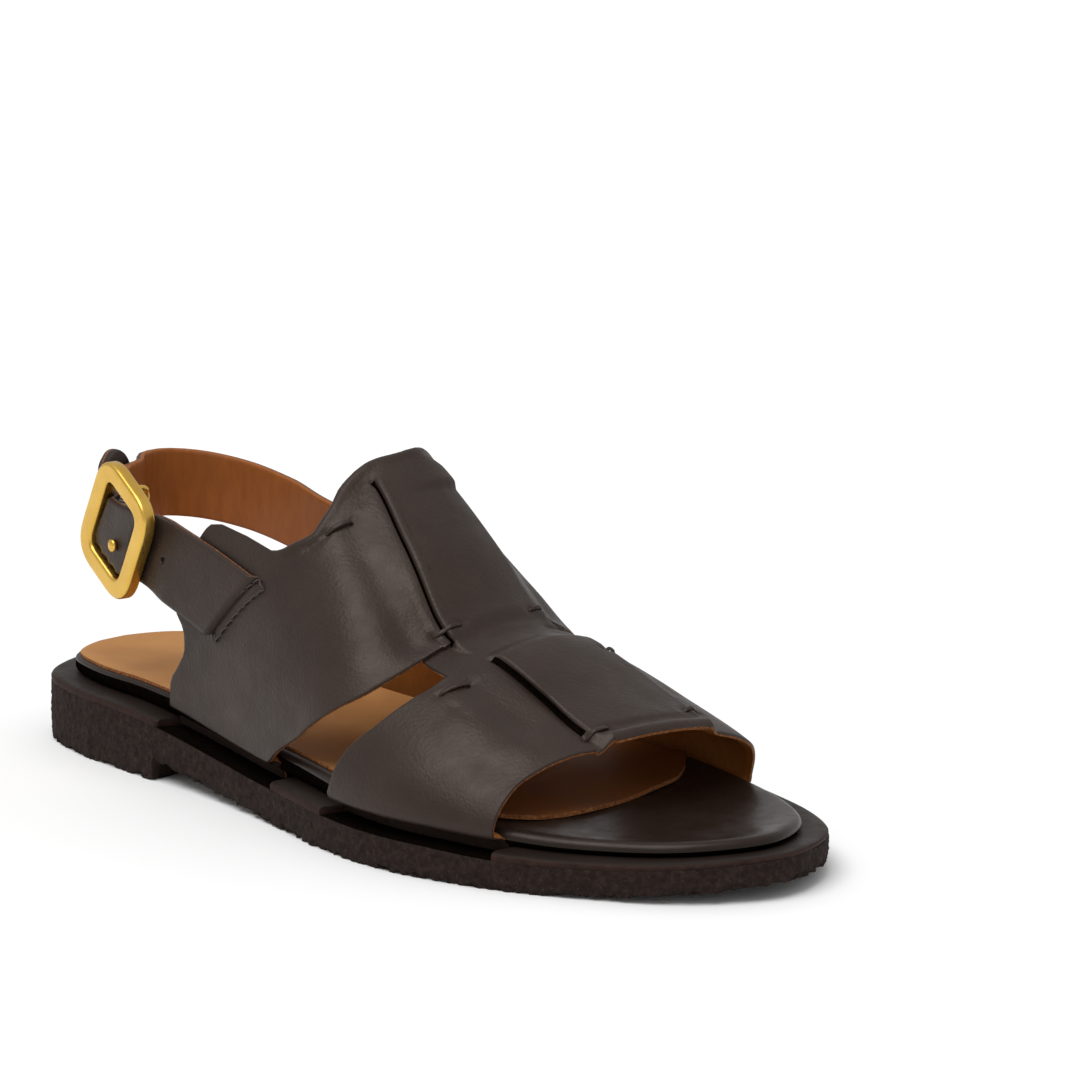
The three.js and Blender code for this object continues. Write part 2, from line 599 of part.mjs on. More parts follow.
// Solid strap along a line. `rows` tells where it lies on the quarter, `slant` skews its front end, `taper`
// narrows it along the line, `endThickness` is reached where the elastic goes in, and `round` rounds the tip.
function strapSolid({
  line, side, width, thickness, endThickness = thickness, rows = null, slant = 0, taper = 0, round = false,
}) {
  const length = line.getLength();
  const tipHalf = (width / 2) * (1 - taper);
  const straight = round ? length - tipHalf : length;
  const count = Math.ceil(straight / strapRowLength);
  const stops = Array.from({ length: count + 1 }, (_, i) => ({
    distance: (straight * i) / count,
    half: lerp(width / 2, tipHalf, i / count),
  }));
  if (round) {
    tipTurns.forEach((turn) => {
      const angle = (turn * Math.PI) / 2;
      stops.push({ distance: straight + tipHalf * Math.sin(angle), half: tipHalf * Math.cos(angle) });
    });
  }
  const beside = rows ? column([...rows].reverse(), 'beside') : () => 0;
  const offset = side * (gap + thickness / 2);
  const grid = (layer) => stops.map((stop) => [-1, -0.5, 0, 0.5, 1].map((across) => {
    const ahead = slant * (1 - across) * Math.max(0, 1 - stop.distance / slantLength);
    const { place, normal, width: up } = strapFrame(line, stop.distance + ahead, side);
    const point = place.clone().addScaledVector(up, across * stop.half);
    point.y = lerp(point.y, sideAcross(point.x, point.z, side) + offset, beside(shareOf(point.x)));
    const swell = THREE.MathUtils.smoothstep(stop.distance, length - 2 * elasticOverlap, length - elasticOverlap);
    return point.addScaledVector(normal, (layer * lerp(thickness, endThickness, swell)) / 2);
  }));
  const [outer, inner] = [grid(1), grid(-1)];
  return side < 0 ? sheetSolid(inner, outer) : sheetSolid(outer, inner);
}

const buckleStrapLine = strapLine(buckleStrapPath, -1);
const heelStrapLine = strapLine(heelStrapPath, 1);

// Buckle, in the frame of the strap under it

const seat = strapFrame(buckleStrapLine, buckleStrapLine.getLength() * buckleSeat, -1);
const toeward = new THREE.Vector3().crossVectors(seat.width, seat.normal);
const seatMatrix = new THREE.Matrix4().makeBasis(toeward, seat.width, seat.normal).setPosition(seat.place);
const frameMatrix = seatMatrix.clone()
  .multiply(new THREE.Matrix4().makeTranslation(0, buckleRaise, 0))
  .multiply(new THREE.Matrix4().makeRotationZ(-THREE.MathUtils.degToRad(buckleLean)));
const frameBack = strapThickness / 2 + gap;
const barRadius = 1.2;
const buckleCorner = 9;
const openingCorner = 3.5;
const holeRadius = prongDiameter / 2 + gap;
const spareRadius = 0.9;

function roundedOutline(target, width, height, corner) {
  const [w, h] = [width / 2, height / 2];
  target.moveTo(w - corner, -h);
  const corners = [[w, -h, w, -h + corner], [w, h, w - corner, h], [-w, h, -w, h - corner], [-w, -h, -w + corner, -h]];
  const starts = [[w - corner, -h], [w, h - corner], [-w + corner, h], [-w, -h + corner]];
  corners.forEach(([cx, cy, ex, ey], i) => {
    target.lineTo(...starts[i]);
    target.quadraticCurveTo(cx, cy, ex, ey);
  });
  return target;
}

function buckleFrame() {
  const bevel = 1.0;
  const outline = roundedOutline(
    new THREE.Shape(), buckleWidth - 2 * bevel, buckleHeight - 2 * bevel, buckleCorner,
  );
  outline.holes.push(roundedOutline(
    new THREE.Path(),
    buckleWidth - 2 * buckleBar + 2 * bevel,
    buckleHeight - 2 * buckleBar + 2 * bevel,
    openingCorner,
  ));
  const geometry = new THREE.ExtrudeGeometry(outline, {
    depth: buckleThickness - 2 * bevel,
    bevelEnabled: true,
    bevelThickness: bevel,
    bevelSize: bevel,
    bevelSegments: 2,
    curveSegments: 5,
  });
  geometry.translate(0, 0, frameBack + bevel).applyMatrix4(frameMatrix);
  return closed(geometry);
}

function closed(geometry) {
  geometry.deleteAttribute('normal');
  geometry.deleteAttribute('uv');
  return mergeVertices(geometry, 1e-4);
}

// Bar behind the strap, bent to the frame at both ends, with the prong that comes through the strap
function buckleBarRod() {
  const seatHalf = (strapWidth / 2) * (1 - strapTaper * buckleSeat);
  const reach = (seatHalf + buckleRaise + barRadius + gap) / Math.cos(THREE.MathUtils.degToRad(buckleLean));
  const back = -(strapThickness / 2 + gap + barRadius);
  const front = frameBack - gap;
  const path = new THREE.CatmullRomCurve3([
    new THREE.Vector3(0, reach, front), new THREE.Vector3(0, reach, back / 2),
    new THREE.Vector3(0, reach - 2 * barRadius, back), new THREE.Vector3(0, 0, back),
    new THREE.Vector3(0, -reach + 2 * barRadius, back), new THREE.Vector3(0, -reach, back / 2),
    new THREE.Vector3(0, -reach, front),
  ], false, 'centripetal');
  const section = new THREE.Shape().absarc(0, 0, barRadius, 0, Math.PI * 2, false);
  const rod = new THREE.ExtrudeGeometry(section, { steps: 24, curveSegments: 8, extrudePath: path });
  const top = strapThickness / 2 + 1.6;
  const stem = prongDiameter / 2 - 0.1;
  const profile = [[0, back], [stem, back], [stem, top - 1], [stem * 0.75, top - 0.3], [0, top]];
  const prong = new THREE.LatheGeometry(profile.map(([r, z]) => new THREE.Vector2(r, z)), 12);
  prong.rotateX(Math.PI / 2).translate(prongAhead, -prongDrop, 0);
  return join(closed(rod), closed(prong)).applyMatrix4(frameMatrix);
}

// Joins and cuts

const wasm = await Module();
wasm.setup();

function toSolid(geometry) {
  const vertProperties = new Float32Array(geometry.attributes.position.array);
  const triVerts = new Uint32Array(geometry.index.array);
  return new wasm.Manifold(new wasm.Mesh({ numProp: 3, vertProperties, triVerts }));
}

function fromSolid(solid) {
  const { vertProperties, triVerts } = solid.getMesh();
  const geometry = new THREE.BufferGeometry();
  geometry.setAttribute('position', new THREE.BufferAttribute(new Float32Array(vertProperties), 3));
  geometry.setIndex(new THREE.BufferAttribute(new Uint32Array(triVerts), 1));
  return geometry;
}

const join = (a, b) => fromSolid(toSolid(a).add(toSolid(b)));
const cut = (a, b) => fromSolid(toSolid(a).subtract(toSolid(b)));

const holePitch = 18;            // from the hole in use to the spare one
function buckleStrap() {
  const strap = strapSolid({
    line: buckleStrapLine, side: -1, width: strapWidth, thickness: strapThickness,
    rows: buckleStrapPath, slant: slitSlant, taper: strapTaper, round: true,
  });
  const drill = (radius) => closed(
    new THREE.CylinderGeometry(radius, radius, 4 * strapThickness, 12).rotateX(Math.PI / 2),
  );
  const used = drill(holeRadius).translate(prongAhead, -prongDrop, 0).applyMatrix4(frameMatrix);
  const spare = drill(spareRadius).translate(holePitch, 0, 0).applyMatrix4(seatMatrix);
  return cut(cut(strap, used), spare);
}

// Places on the heel strap's line from where the elastic is sewn in to a little past the strap's end
function pocketPlaces(depth) {
  const length = heelStrapLine.getLength();
  const places = [length - depth, length - depth / 2, length]
    .map((distance) => strapFrame(heelStrapLine, distance, 1).place.clone());
  const run = places[2].clone().sub(places[1]).normalize();
  return [...places, places[2].clone().addScaledVector(run, 4 * gap)];
}

// Strap round the heel, with a pocket in its end for the elastic
function heelStrap() {
  const strap = strapSolid({
    line: heelStrapLine, side: 1, width: heelStrapWidth, thickness: strapThickness,
    endThickness: elasticThickness + 2 * gap + 2 * pocketWall, rows: heelStrapPath, slant: slitSlant,
  });
  const pocket = strapSolid({
    line: new THREE.CatmullRomCurve3(pocketPlaces(elasticOverlap + gap), false, 'centripetal'), side: 1,
    width: elasticWidth + 2 * gap, thickness: elasticThickness + 2 * gap,
  });
  return cut(strap, pocket);
}

// Elastic from the pocket in the heel strap's end to the bar of the buckle
function elastic() {
  const anchors = pocketPlaces(elasticOverlap);
  const barDepth = strapThickness / 2 + gap + 2 * barRadius + gap + elasticThickness / 2;
  const end = seat.place.clone().addScaledVector(seat.normal, -barDepth);
  const flat = end.clone().addScaledVector(toeward, -elasticFlat);
  const line = new THREE.CatmullRomCurve3([...anchors, flat, end], false, 'centripetal');
  return strapSolid({ line, side: 1, width: elasticWidth, thickness: elasticThickness });
}

// Assembly

const sandal = new THREE.Group();

function addPiece(name, geometry, finish) {
  const piece = new THREE.Mesh(geometry, new THREE.MeshStandardMaterial({ ...finish, flatShading: true }));
  piece.name = name;
  sandal.add(piece);
}

addPiece('outsole', outsole(), crepeBrown);
addPiece('welt', welt(), leatherDark);
addPiece('footbed', footbed(), leatherDark);
addPiece('sock_lining', sockLining(), leatherSock);
addPiece('upper', upper(), leatherDark);
addPiece('buckle_strap', buckleStrap(), leatherDark);
addPiece('heel_strap', heelStrap(), leatherDark);
addPiece('elastic', elastic(), elasticBeige);
addPiece('buckle_frame', buckleFrame(), satinBrass);
addPiece('buckle_bar', buckleBarRod(), satinBrass);

export default sandal;
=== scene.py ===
"""Huarache sandal, right shoe: its leather, crepe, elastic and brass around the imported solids.

Shapes are worked out in millimetres, in the frame of the solids: +X is the toe, +Y the big-toe side and
+Z up. They are turned into metres when a mesh is made.
"""

import math

import bpy
import numpy as np
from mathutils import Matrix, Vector, kdtree, noise


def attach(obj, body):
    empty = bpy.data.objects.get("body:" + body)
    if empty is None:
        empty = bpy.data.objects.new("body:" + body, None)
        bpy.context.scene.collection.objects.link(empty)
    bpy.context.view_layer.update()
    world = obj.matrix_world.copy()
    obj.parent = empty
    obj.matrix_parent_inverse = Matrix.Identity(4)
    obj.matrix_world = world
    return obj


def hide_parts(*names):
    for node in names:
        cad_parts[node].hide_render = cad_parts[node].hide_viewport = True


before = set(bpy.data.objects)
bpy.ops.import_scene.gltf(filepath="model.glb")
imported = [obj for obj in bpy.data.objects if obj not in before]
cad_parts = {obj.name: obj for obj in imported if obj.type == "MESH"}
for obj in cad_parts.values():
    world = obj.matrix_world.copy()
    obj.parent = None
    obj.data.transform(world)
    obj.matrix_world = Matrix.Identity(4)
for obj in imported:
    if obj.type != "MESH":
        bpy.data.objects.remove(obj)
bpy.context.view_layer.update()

MM = 0.001

# Sizes that the solids share

SOLE_LENGTH = 252.0
BALL_WIDTH = 101.0
HEEL_HEIGHT = 17.8
BALL_HEIGHT = 10.4
BREAST_STEP = 4.8
TOE_SPRING = 4.1
WELT_THICKNESS = 2.0
FLANGE = 6.5
FOOTBED_HEIGHT = 4.6
FOOTBED_ROUND = 1.8
SOCK_THICKNESS = 0.8
PEAK_HEIGHT = 87.0
BAND_WALL = 1.8
PANEL_RISE = 1.5
BAND_BULGE = 4.6
BAND_FOOT = 4.0
TUCK_DEPTH = 1.0
TUCK_GIRTH = 1.3
BAND_CLEARANCE = 0.8
STRAP_WIDTH = 21.0
STRAP_TAPER = 0.12
HEEL_STRAP_WIDTH = 18.2
ELASTIC_WIDTH = 16.4
STRAP_THICKNESS = 2.0
ELASTIC_THICKNESS = 1.2
POCKET_WALL = 0.7
ELASTIC_FLAT = 6.0
BUCKLE_WIDTH = 27.0
BUCKLE_HEIGHT = 32.0
BUCKLE_BAR = 5.2
BUCKLE_THICKNESS = 3.8
BUCKLE_CORNER = 9.0
OPENING_CORNER = 3.5
BUCKLE_LEAN = 20.0
BUCKLE_RAISE = 2.4
BUCKLE_SEAT = 0.60
BAR_RADIUS = 1.2
PRONG_DROP = 3.4
PRONG_AHEAD = 1.8
BAR_REACH = 13.6
HOLE_PITCH = 18.0
SLIT_SLANT = 6.0
SLANT_LENGTH = 34.0
ELASTIC_OVERLAP = 7.0
GAP = 0.3

HEEL_X = -SOLE_LENGTH / 2
HALF_BALL = BALL_WIDTH / 2
BREAST_SHARE = 0.252
SPRING_START = 0.778
WAIST_GIRTH = 0.375

# Tables of the form. `along` is a share of the sole's length, `across` a share of half the ball width.

# Columns: along, across
SOLE_OUTLINE = [
    (0, 0), (0.032, -0.42), (0.103, -0.59), (0.222, -0.67), (0.341, -0.72), (0.46, -0.83),
    (0.57, -0.965), (0.665, -1), (0.77, -0.89), (0.877, -0.65), (0.956, -0.37), (1, 0.06),
    (0.968, 0.5), (0.897, 0.79), (0.798, 0.97), (0.698, 1), (0.599, 0.9), (0.48, 0.71),
    (0.361, 0.59), (0.242, 0.585), (0.123, 0.61), (0.036, 0.45),
]
# Columns: along, heel, spring, arch, welt
SOLE_PROFILE = [
    (0, 1, 0, 1, 1), (0.175, 1, 0, 1, 1), (0.252, 0.85, 0, 1, 1),
    (0.345, 0.45, 0, 0.55, 1), (0.452, 0.15, 0, 0.14, 1), (0.532, 0.09, 0, 0.02, 1),
    (0.595, 0.04, 0, 0, 1), (0.7, 0, 0, 0, 1), (0.778, -0.12, 0, 0, 1),
    (0.83, -0.16, 0, 0, 0.9), (0.877, -0.16, 0.05, 0, 0.8), (0.944, -0.16, 0.27, 0, 0.65),
    (1, -0.16, 0.58, 0, 0.6),
]
# Columns: along, height
FOOTBED_PROFILE = [(0, 0.9), (0.2, 1.05), (0.42, 1.3), (0.62, 1.15), (0.82, 0.82), (1, 0.76)]
# Columns: along, ridge, across, full, bulge, full on the big-toe side, bulge on the big-toe side
UPPER_SECTIONS = [
    (0.13, 1.215, 0.06, 2.3, 0.35, 2.3, 0.35), (0.262, 1.195, 0.08, 2.3, 0.6, 2.3, 0.6),
    (0.381, 1.115, 0.12, 2.25, 0.95, 2.25, 0.95), (0.456, 1, 0.14, 2.2, 1.05, 2.2, 1.05),
    (0.508, 0.897, 0.11, 2.1, 1.1, 2.1, 1.1), (0.556, 0.786, 0.08, 1.95, 1.15, 1.95, 1.05),
    (0.611, 0.632, 0.06, 1.85, 1.15, 1.85, 1), (0.679, 0.554, 0.08, 1.82, 1.1, 1.95, 0.85),
    (0.746, 0.458, 0.11, 1.8, 1, 2.15, 0.6), (0.817, 0.375, 0.14, 1.8, 0.9, 2.35, 0.47),
    (0.865, 0.31, 0.15, 1.8, 0.8, 2.4, 0.47),
]
# Columns: girth, along. Girth runs from -1 at the little-toe side's base over 0 at the ridge to 1.
TOE_EDGE = [
    (-1, 0.779), (-0.67, 0.779), (-0.52, 0.785), (-0.37, 0.795), (-0.26, 0.806), (-0.08, 0.815),
    (0.19, 0.821), (0.4, 0.823), (0.6, 0.82), (0.82, 0.808), (1, 0.797),
]
VAMP_REAR_EDGE = [
    (-1, 0.57), (-0.88, 0.582), (-0.78, 0.596), (-0.64, 0.618), (-0.4, 0.642), (0, 0.655),
    (0.4, 0.646), (0.64, 0.632), (0.84, 0.614), (1, 0.6),
]
QUARTER_FRONT_EDGE = [
    (-1, 0.458), (-0.98, 0.468), (-0.89, 0.515), (-0.59, 0.591), (-0.39, 0.61), (0, 0.622),
    (0.39, 0.612), (0.59, 0.594), (0.89, 0.526), (1, 0.482),
]
COLLAR_EDGE = [
    (-1, 0.263), (-0.97, 0.264), (-0.94, 0.276), (-0.9, 0.288), (-0.87, 0.286), (-0.83, 0.268),
    (-0.76, 0.276), (-0.66, 0.296), (-0.61, 0.312), (-0.59, 0.35), (-0.58, 0.398), (-0.565, 0.412),
    (-0.53, 0.427), (-0.42, 0.453), (-0.36, 0.453), (-0.31, 0.447), (-0.24, 0.446), (0, 0.451),
    (0.24, 0.446), (0.32, 0.448), (0.4, 0.455), (0.54, 0.43), (0.6, 0.4), (0.66, 0.33),
    (0.76, 0.29), (0.88, 0.288), (0.96, 0.268), (1, 0.263),
]
# Columns: along, girth of the panel's edge on the little-toe side and on the big-toe side, rise
PANEL_EDGES = [
    (0.44, 0.15, 0.15, 1), (0.472, 0.16, 0.17, 1), (0.529, 0.2, 0.2, 1), (0.607, 0.25, 0.23, 1),
    (0.625, 0.25, 0.25, 0), (0.648, 0.23, 0.27, 0), (0.665, 0.21, 0.27, 1), (0.722, 0.22, 0.27, 1),
    (0.785, 0.26, 0.27, 1), (0.84, 0.27, 0.27, 1),
]
# Columns: share of the width from the little-toe side, along
SOCK_FRONT = [
    (0, 0.732), (0.08, 0.752), (0.17, 0.772), (0.33, 0.782), (0.56, 0.776), (0.79, 0.762),
    (0.92, 0.74), (1, 0.716),
]
# Columns: along, across, height as a share of the peak height, and 1 where the strap lies on the quarter
BUCKLE_STRAP_PATH = [
    (0.393, -0.69, 0.564, 1), (0.321, -0.626, 0.616, 1), (0.262, -0.59, 0.655, 1),
    (0.222, -0.566, 0.682, 0), (0.183, -0.533, 0.692, 0), (0.145, -0.491, 0.719, 0),
    (0.118, -0.412, 0.755, 0), (0.101, -0.29, 0.794, 0), (0.088, -0.12, 0.828, 0),
]
HEEL_STRAP_PATH = [
    (0.393, 0.567, 0.564, 1), (0.321, 0.519, 0.612, 1), (0.262, 0.504, 0.65, 1),
    (0.202, 0.502, 0.689, 0), (0.143, 0.47, 0.719, 0), (0.098, 0.35, 0.742, 0),
    (0.076, 0.18, 0.754, 0), (0.08, 0.02, 0.756, 0), (0.099, -0.09, 0.752, 0),
    (0.107, -0.206, 0.748, 0), (0.117, -0.299, 0.744, 0), (0.128, -0.37, 0.74, 0),
]

# Curves and small helpers


def lerp(a, b, t):
    return a + (b - a) * t


def smooth(t):
    t = np.clip(t, 0.0, 1.0)
    return t * t * (3 - 2 * t)


def ramp(x, low, high):
    """Smooth step from 0 at low to 1 at high."""
    return smooth((x - low) / (high - low))


def hump(x, width):
    """1 at zero, fading over a width to both sides."""
    return np.exp(-(x / width)**2)


def column(rows, value):
    """Smooth curve through one column of a table, without overshoot."""
    table = np.array(rows, float)
    xs, ys = table[:, 0], table[:, value]
    slopes = np.diff(ys) / np.diff(xs)
    tangents = np.concatenate([slopes[:1], np.zeros(len(xs) - 2), slopes[-1:]])
    before, after = slopes[:-1], slopes[1:]
    same = before * after > 0
    tangents[1:-1][same] = 2 * before[same] * after[same] / (before[same] + after[same])

    def curve(x):
        x = np.clip(np.asarray(x, float), xs[0], xs[-1])
        i = np.clip(np.searchsorted(xs, x, side="right") - 1, 0, len(xs) - 2)
        h = xs[i + 1] - xs[i]
        t = (x - xs[i]) / h
        base = lerp(ys[i], ys[i + 1], t * t * (3 - 2 * t))
        return base + h * t * (1 - t) * ((1 - t) * tangents[i] - t * tangents[i + 1])

    return curve


def centripetal(points, closed, steps):
    """Dense points of a centripetal curve, `steps` to a span."""
    points = np.array(points, float)
    if closed:
        ends = [points[-1:], points, points[:2]]
    else:
        ends = [2 * points[:1] - points[1:2], points, 2 * points[-1:] - points[-2:-1]]
    padded = np.vstack(ends)
    t = np.arange(steps)[:, None] / steps
    parts = []
    for k in range(len(padded) - 3):
        p0, p1, p2, p3 = padded[k:k + 4]
        d0, d1, d2 = (math.sqrt(np.linalg.norm(b - a)) for a, b in ((p0, p1), (p1, p2), (p2, p3)))
        m1 = ((p1 - p0) / d0 - (p2 - p0) / (d0 + d1) + (p2 - p1) / d1) * d1
        m2 = ((p2 - p1) / d1 - (p3 - p1) / (d1 + d2) + (p3 - p2) / d2) * d1
        parts.append(p1 + m1 * t + (3 * (p2 - p1) - 2 * m1 - m2) * t**2 + (2 * (p1 - p2) + m1 + m2) * t**3)
    if not closed:
        parts.append(points[-1:])
    return np.vstack(parts)


def rough(points, scale, seed=0.0):
    """Smooth noise at points in millimetres, from about -1 to 1."""
    shift = Vector((seed, 3.7 * seed, 1.3 * seed))
    flat = np.asarray(points).reshape(-1, 3)
    values = [noise.noise(Vector(p) * scale + shift) for p in flat]
    return np.array(values).reshape(np.asarray(points).shape[:-1])


def share_of(x):
    return (x - HEEL_X) / SOLE_LENGTH


def along_at(share):
    return HEEL_X + share * SOLE_LENGTH


def edge_along(rows, girth):
    """x of a band's edge at a girth."""
    return along_at(column(rows, 1)(girth))


def unit(vectors):
    return vectors / np.linalg.norm(vectors, axis=-1, keepdims=True)


def by_side(side, lateral, medial):
    return np.where(side < 0, lateral, medial)


def side_of(across):
    return by_side(across, -1, 1)


# The form of sole, footbed and upper

heel_share, spring_share = column(SOLE_PROFILE, 1), column(SOLE_PROFILE, 2)
arch_share, welt_share = column(SOLE_PROFILE, 3), column(SOLE_PROFILE, 4)
footbed_share = column(FOOTBED_PROFILE, 1)


def welt_top(x):
    share = share_of(x)
    return BALL_HEIGHT + (HEEL_HEIGHT - BALL_HEIGHT) * heel_share(share) + TOE_SPRING * spring_share(share)


def sole_top(x):
    return welt_top(x) - WELT_THICKNESS * welt_share(share_of(x))


def footbed_top(x):
    return welt_top(x) + FOOTBED_HEIGHT * footbed_share(share_of(x))


def sole_under(x):
    share = share_of(x)
    spring = np.maximum(0, share - SPRING_START) / (1 - SPRING_START)
    return np.where(share <= BREAST_SHARE, 0.0, BREAST_STEP * arch_share(share) + TOE_SPRING * spring**2)


LOOP_STEPS = 36
LOOP = centripetal([(along_at(a), c * HALF_BALL) for a, c in SOLE_OUTLINE], True, LOOP_STEPS)
LOOP_COUNT = len(LOOP)
TOE_INDEX = LOOP_COUNT // 2
LOOP_WAY = unit(np.roll(LOOP, -2, 0) - np.roll(LOOP, 2, 0))
INWARD = np.column_stack([-LOOP_WAY[:, 1], LOOP_WAY[:, 0]])


def loop_at(inset):
    """The sole's outline moved inward, as a closed loop from the heel round the little-toe side."""
    return LOOP + INWARD * np.asarray(inset)[..., None]


def edge_at(x, side, inset):
    """Across position of the inset outline where a side reaches x."""
    loop = loop_at(inset)
    part = loop[:TOE_INDEX + 1] if side < 0 else np.vstack([loop[TOE_INDEX:], loop[:1]])[::-1]
    return np.interp(x, np.maximum.accumulate(part[:, 0]), part[:, 1])


def edge_beside(x, side, inset):
    """The same for places whose sides differ."""
    return by_side(side, edge_at(x, -1, inset), edge_at(x, 1, inset))


# The band's end below its widest place: it curls in, runs flat under the bulge and goes down behind the
# welt. Columns: way along the tuck, share inward, share of the drop at the quarter and at the vamp.
TUCK = [
    (0.00, 0.00, 0.00, 0.00), (0.12, 0.03, 0.08, 0.16), (0.26, 0.14, 0.16, 0.31), (0.42, 0.34, 0.19, 0.37),
    (0.60, 0.60, 0.24, 0.42), (0.76, 0.80, 0.42, 0.56), (0.88, 0.92, 0.72, 0.78), (1.00, 1.00, 1.00, 1.00),
]
QUARTER_TO_VAMP = (-5, 15)
tuck_inward, tuck_quarter, tuck_vamp = (column(TUCK, k) for k in (1, 2, 3))
ridge_share, ridge_across = column(UPPER_SECTIONS, 1), column(UPPER_SECTIONS, 2)
full_shares = column(UPPER_SECTIONS, 3), column(UPPER_SECTIONS, 5)
bulge_shares = column(UPPER_SECTIONS, 4), column(UPPER_SECTIONS, 6)


def sided(curves, side, x):
    """Value at x of the little-toe side's curve or of the big-toe side's."""
    return by_side(side, *(curve(share_of(x)) for curve in curves))


def section(x, side):
    """Edge of the footbed, base, ridge and roundness of the upper's section at x on a side."""
    share = share_of(x)
    foot = edge_beside(x, side, FLANGE)
    power = 2 / sided(full_shares, side, x)
    base_y = foot + side * BAND_BULGE * sided(bulge_shares, side, x)
    ridge_z = PEAK_HEIGHT * ridge_share(share) - PANEL_RISE
    return foot, base_y, welt_top(x) + BAND_FOOT, HALF_BALL * ridge_across(share), ridge_z, power


def upper_point(x, girth):
    """Outer surface of the upper, without the panel's rise and the creases."""
    x, girth = np.broadcast_arrays(np.asarray(x, float), np.asarray(girth, float))
    side = side_of(girth)
    foot, base_y, base_z, ridge_y, ridge_z, power = section(x, side)
    turn = np.abs(girth)
    angle = (1 - np.minimum(turn, 1)) * np.pi / 2
    y = lerp(ridge_y, base_y, np.maximum(np.cos(angle), 0)**power)
    z = lerp(base_z, ridge_z, np.maximum(np.sin(angle), 0)**power)
    tuck = np.clip((turn - 1) / (TUCK_GIRTH - 1), 0, 1)
    drop = lerp(tuck_quarter(tuck), tuck_vamp(tuck), ramp(x, *QUARTER_TO_VAMP))
    tuck_y = lerp(base_y, foot - side * TUCK_DEPTH, tuck_inward(tuck))
    tuck_z = lerp(base_z, sole_top(x) + GAP, drop)
    return np.stack([x, np.where(turn <= 1, y, tuck_y), np.where(turn <= 1, z, tuck_z)], axis=-1)


def upper_normal(x, girth):
    dx = upper_point(x + 0.5, girth) - upper_point(x - 0.5, girth)
    dg = upper_point(x, girth + 0.005) - upper_point(x, girth - 0.005)
    return unit(np.cross(dx, dg))


def girth_length(x, girth):
    """Millimetres along the surface to one unit of girth."""
    return np.linalg.norm(upper_point(x, girth + 0.01) - upper_point(x, girth - 0.01), axis=-1) / 0.02


def side_across(x, z, side):
    """Across position of the upper's side at a height."""
    _, base_y, base_z, ridge_y, ridge_z, power = section(x, side)
    rise = np.clip((z - base_z) / (ridge_z - base_z), 0, 1)
    return lerp(ridge_y, base_y, (1 - rise**(2 / power))**(power / 2))


# Meshes


def add_mesh(name, points, faces, materials, kinds=None, sharp=35.0):
    """Object from points in millimetres. `kinds` gives each face's material."""
    points = np.asarray(points, float).reshape(-1, 3)
    used = np.unique(np.concatenate([np.asarray(face) for face in faces]))
    place = np.full(len(points), -1)
    place[used] = np.arange(len(used))
    mesh = bpy.data.meshes.new(name)
    mesh.from_pydata((points[used] * MM).tolist(), [], [[int(place[v]) for v in face] for face in faces])
    for material in materials:
        mesh.materials.append(material)
    if kinds is not None:
        mesh.polygons.foreach_set("material_index", np.asarray(kinds, np.int32))
    mesh.polygons.foreach_set("use_smooth", np.ones(len(mesh.polygons), bool))
    mesh.set_sharp_from_angle(angle=math.radians(sharp))
    mesh.update()
    piece = bpy.data.objects.new(name, mesh)
    bpy.context.scene.collection.objects.link(piece)
    return piece


def sheet_faces(shape, present=None):
    """Faces of a closed sheet between two grids of one shape. Kinds are outside 0, inside 1 and edge 2."""
    rows, columns = shape
    layer = rows * columns
    here = np.ones((rows - 1, columns - 1), bool) if present is None else present
    faces, kinds = [], []
    for i, j in np.argwhere(here):
        corners = [i * columns + j, (i + 1) * columns + j, (i + 1) * columns + j + 1, i * columns + j + 1]
        faces.append(corners)
        faces.append([corner + layer for corner in reversed(corners)])
        kinds += [0, 1]
        for k, (p, q) in enumerate(((i, j - 1), (i + 1, j), (i, j + 1), (i - 1, j))):
            inside = 0 <= p < rows - 1 and 0 <= q < columns - 1 and here[p, q]
            if not inside:
                a, b = corners[k], corners[(k + 1) % 4]
                faces.append([a, a + layer, b + layer, b])
                kinds.append(2)
    return faces, kinds


def ring_faces(rings, count, closed=False):
    """Faces between rings from the lowest to the highest, with caps, or round a closed chain of rings."""
    faces = []
    for level in range(rings if closed else rings - 1):
        low, high = level * count, (level + 1) % rings * count
        for i in range(count):
            j = (i + 1) % count
            faces.append([low + i, low + j, high + j, high + i])
    if closed:
        return faces
    half = count // 2
    for base, up in ((0, False), ((rings - 1) * count, True)):
        cap = [[base, base + 1, base + count - 1], [base + half - 1, base + half, base + half + 1]]
        cap += [[base + i, base + i + 1, base + count - i - 1, base + count - i] for i in range(1, half - 1)]
        faces += cap if up else [face[::-1] for face in cap]
    return faces


def sweep(line, reference, half_width, half_height, steps, power=1.0):
    """Points and faces of a rod along a line, with its width across a reference direction."""
    way = unit(np.gradient(line, axis=0))
    side = unit(np.cross(way, reference))
    other = np.cross(way, side)
    angle = np.linspace(0, 2 * np.pi, steps, endpoint=False)
    c, s = (np.sign(v) * np.abs(v)**power for v in (np.cos(angle), np.sin(angle)))
    wide, high = (np.broadcast_to(v, len(line))[:, None, None] for v in (half_width, half_height))
    points = line[:, None] + side[:, None] * wide * c[:, None] + other[:, None] * high * s[:, None]
    return points.reshape(-1, 3), ring_faces(len(line), steps)


def finish_piece(piece, node=None):
    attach(piece, "root")
    if node:
        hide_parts(node)


# Materials


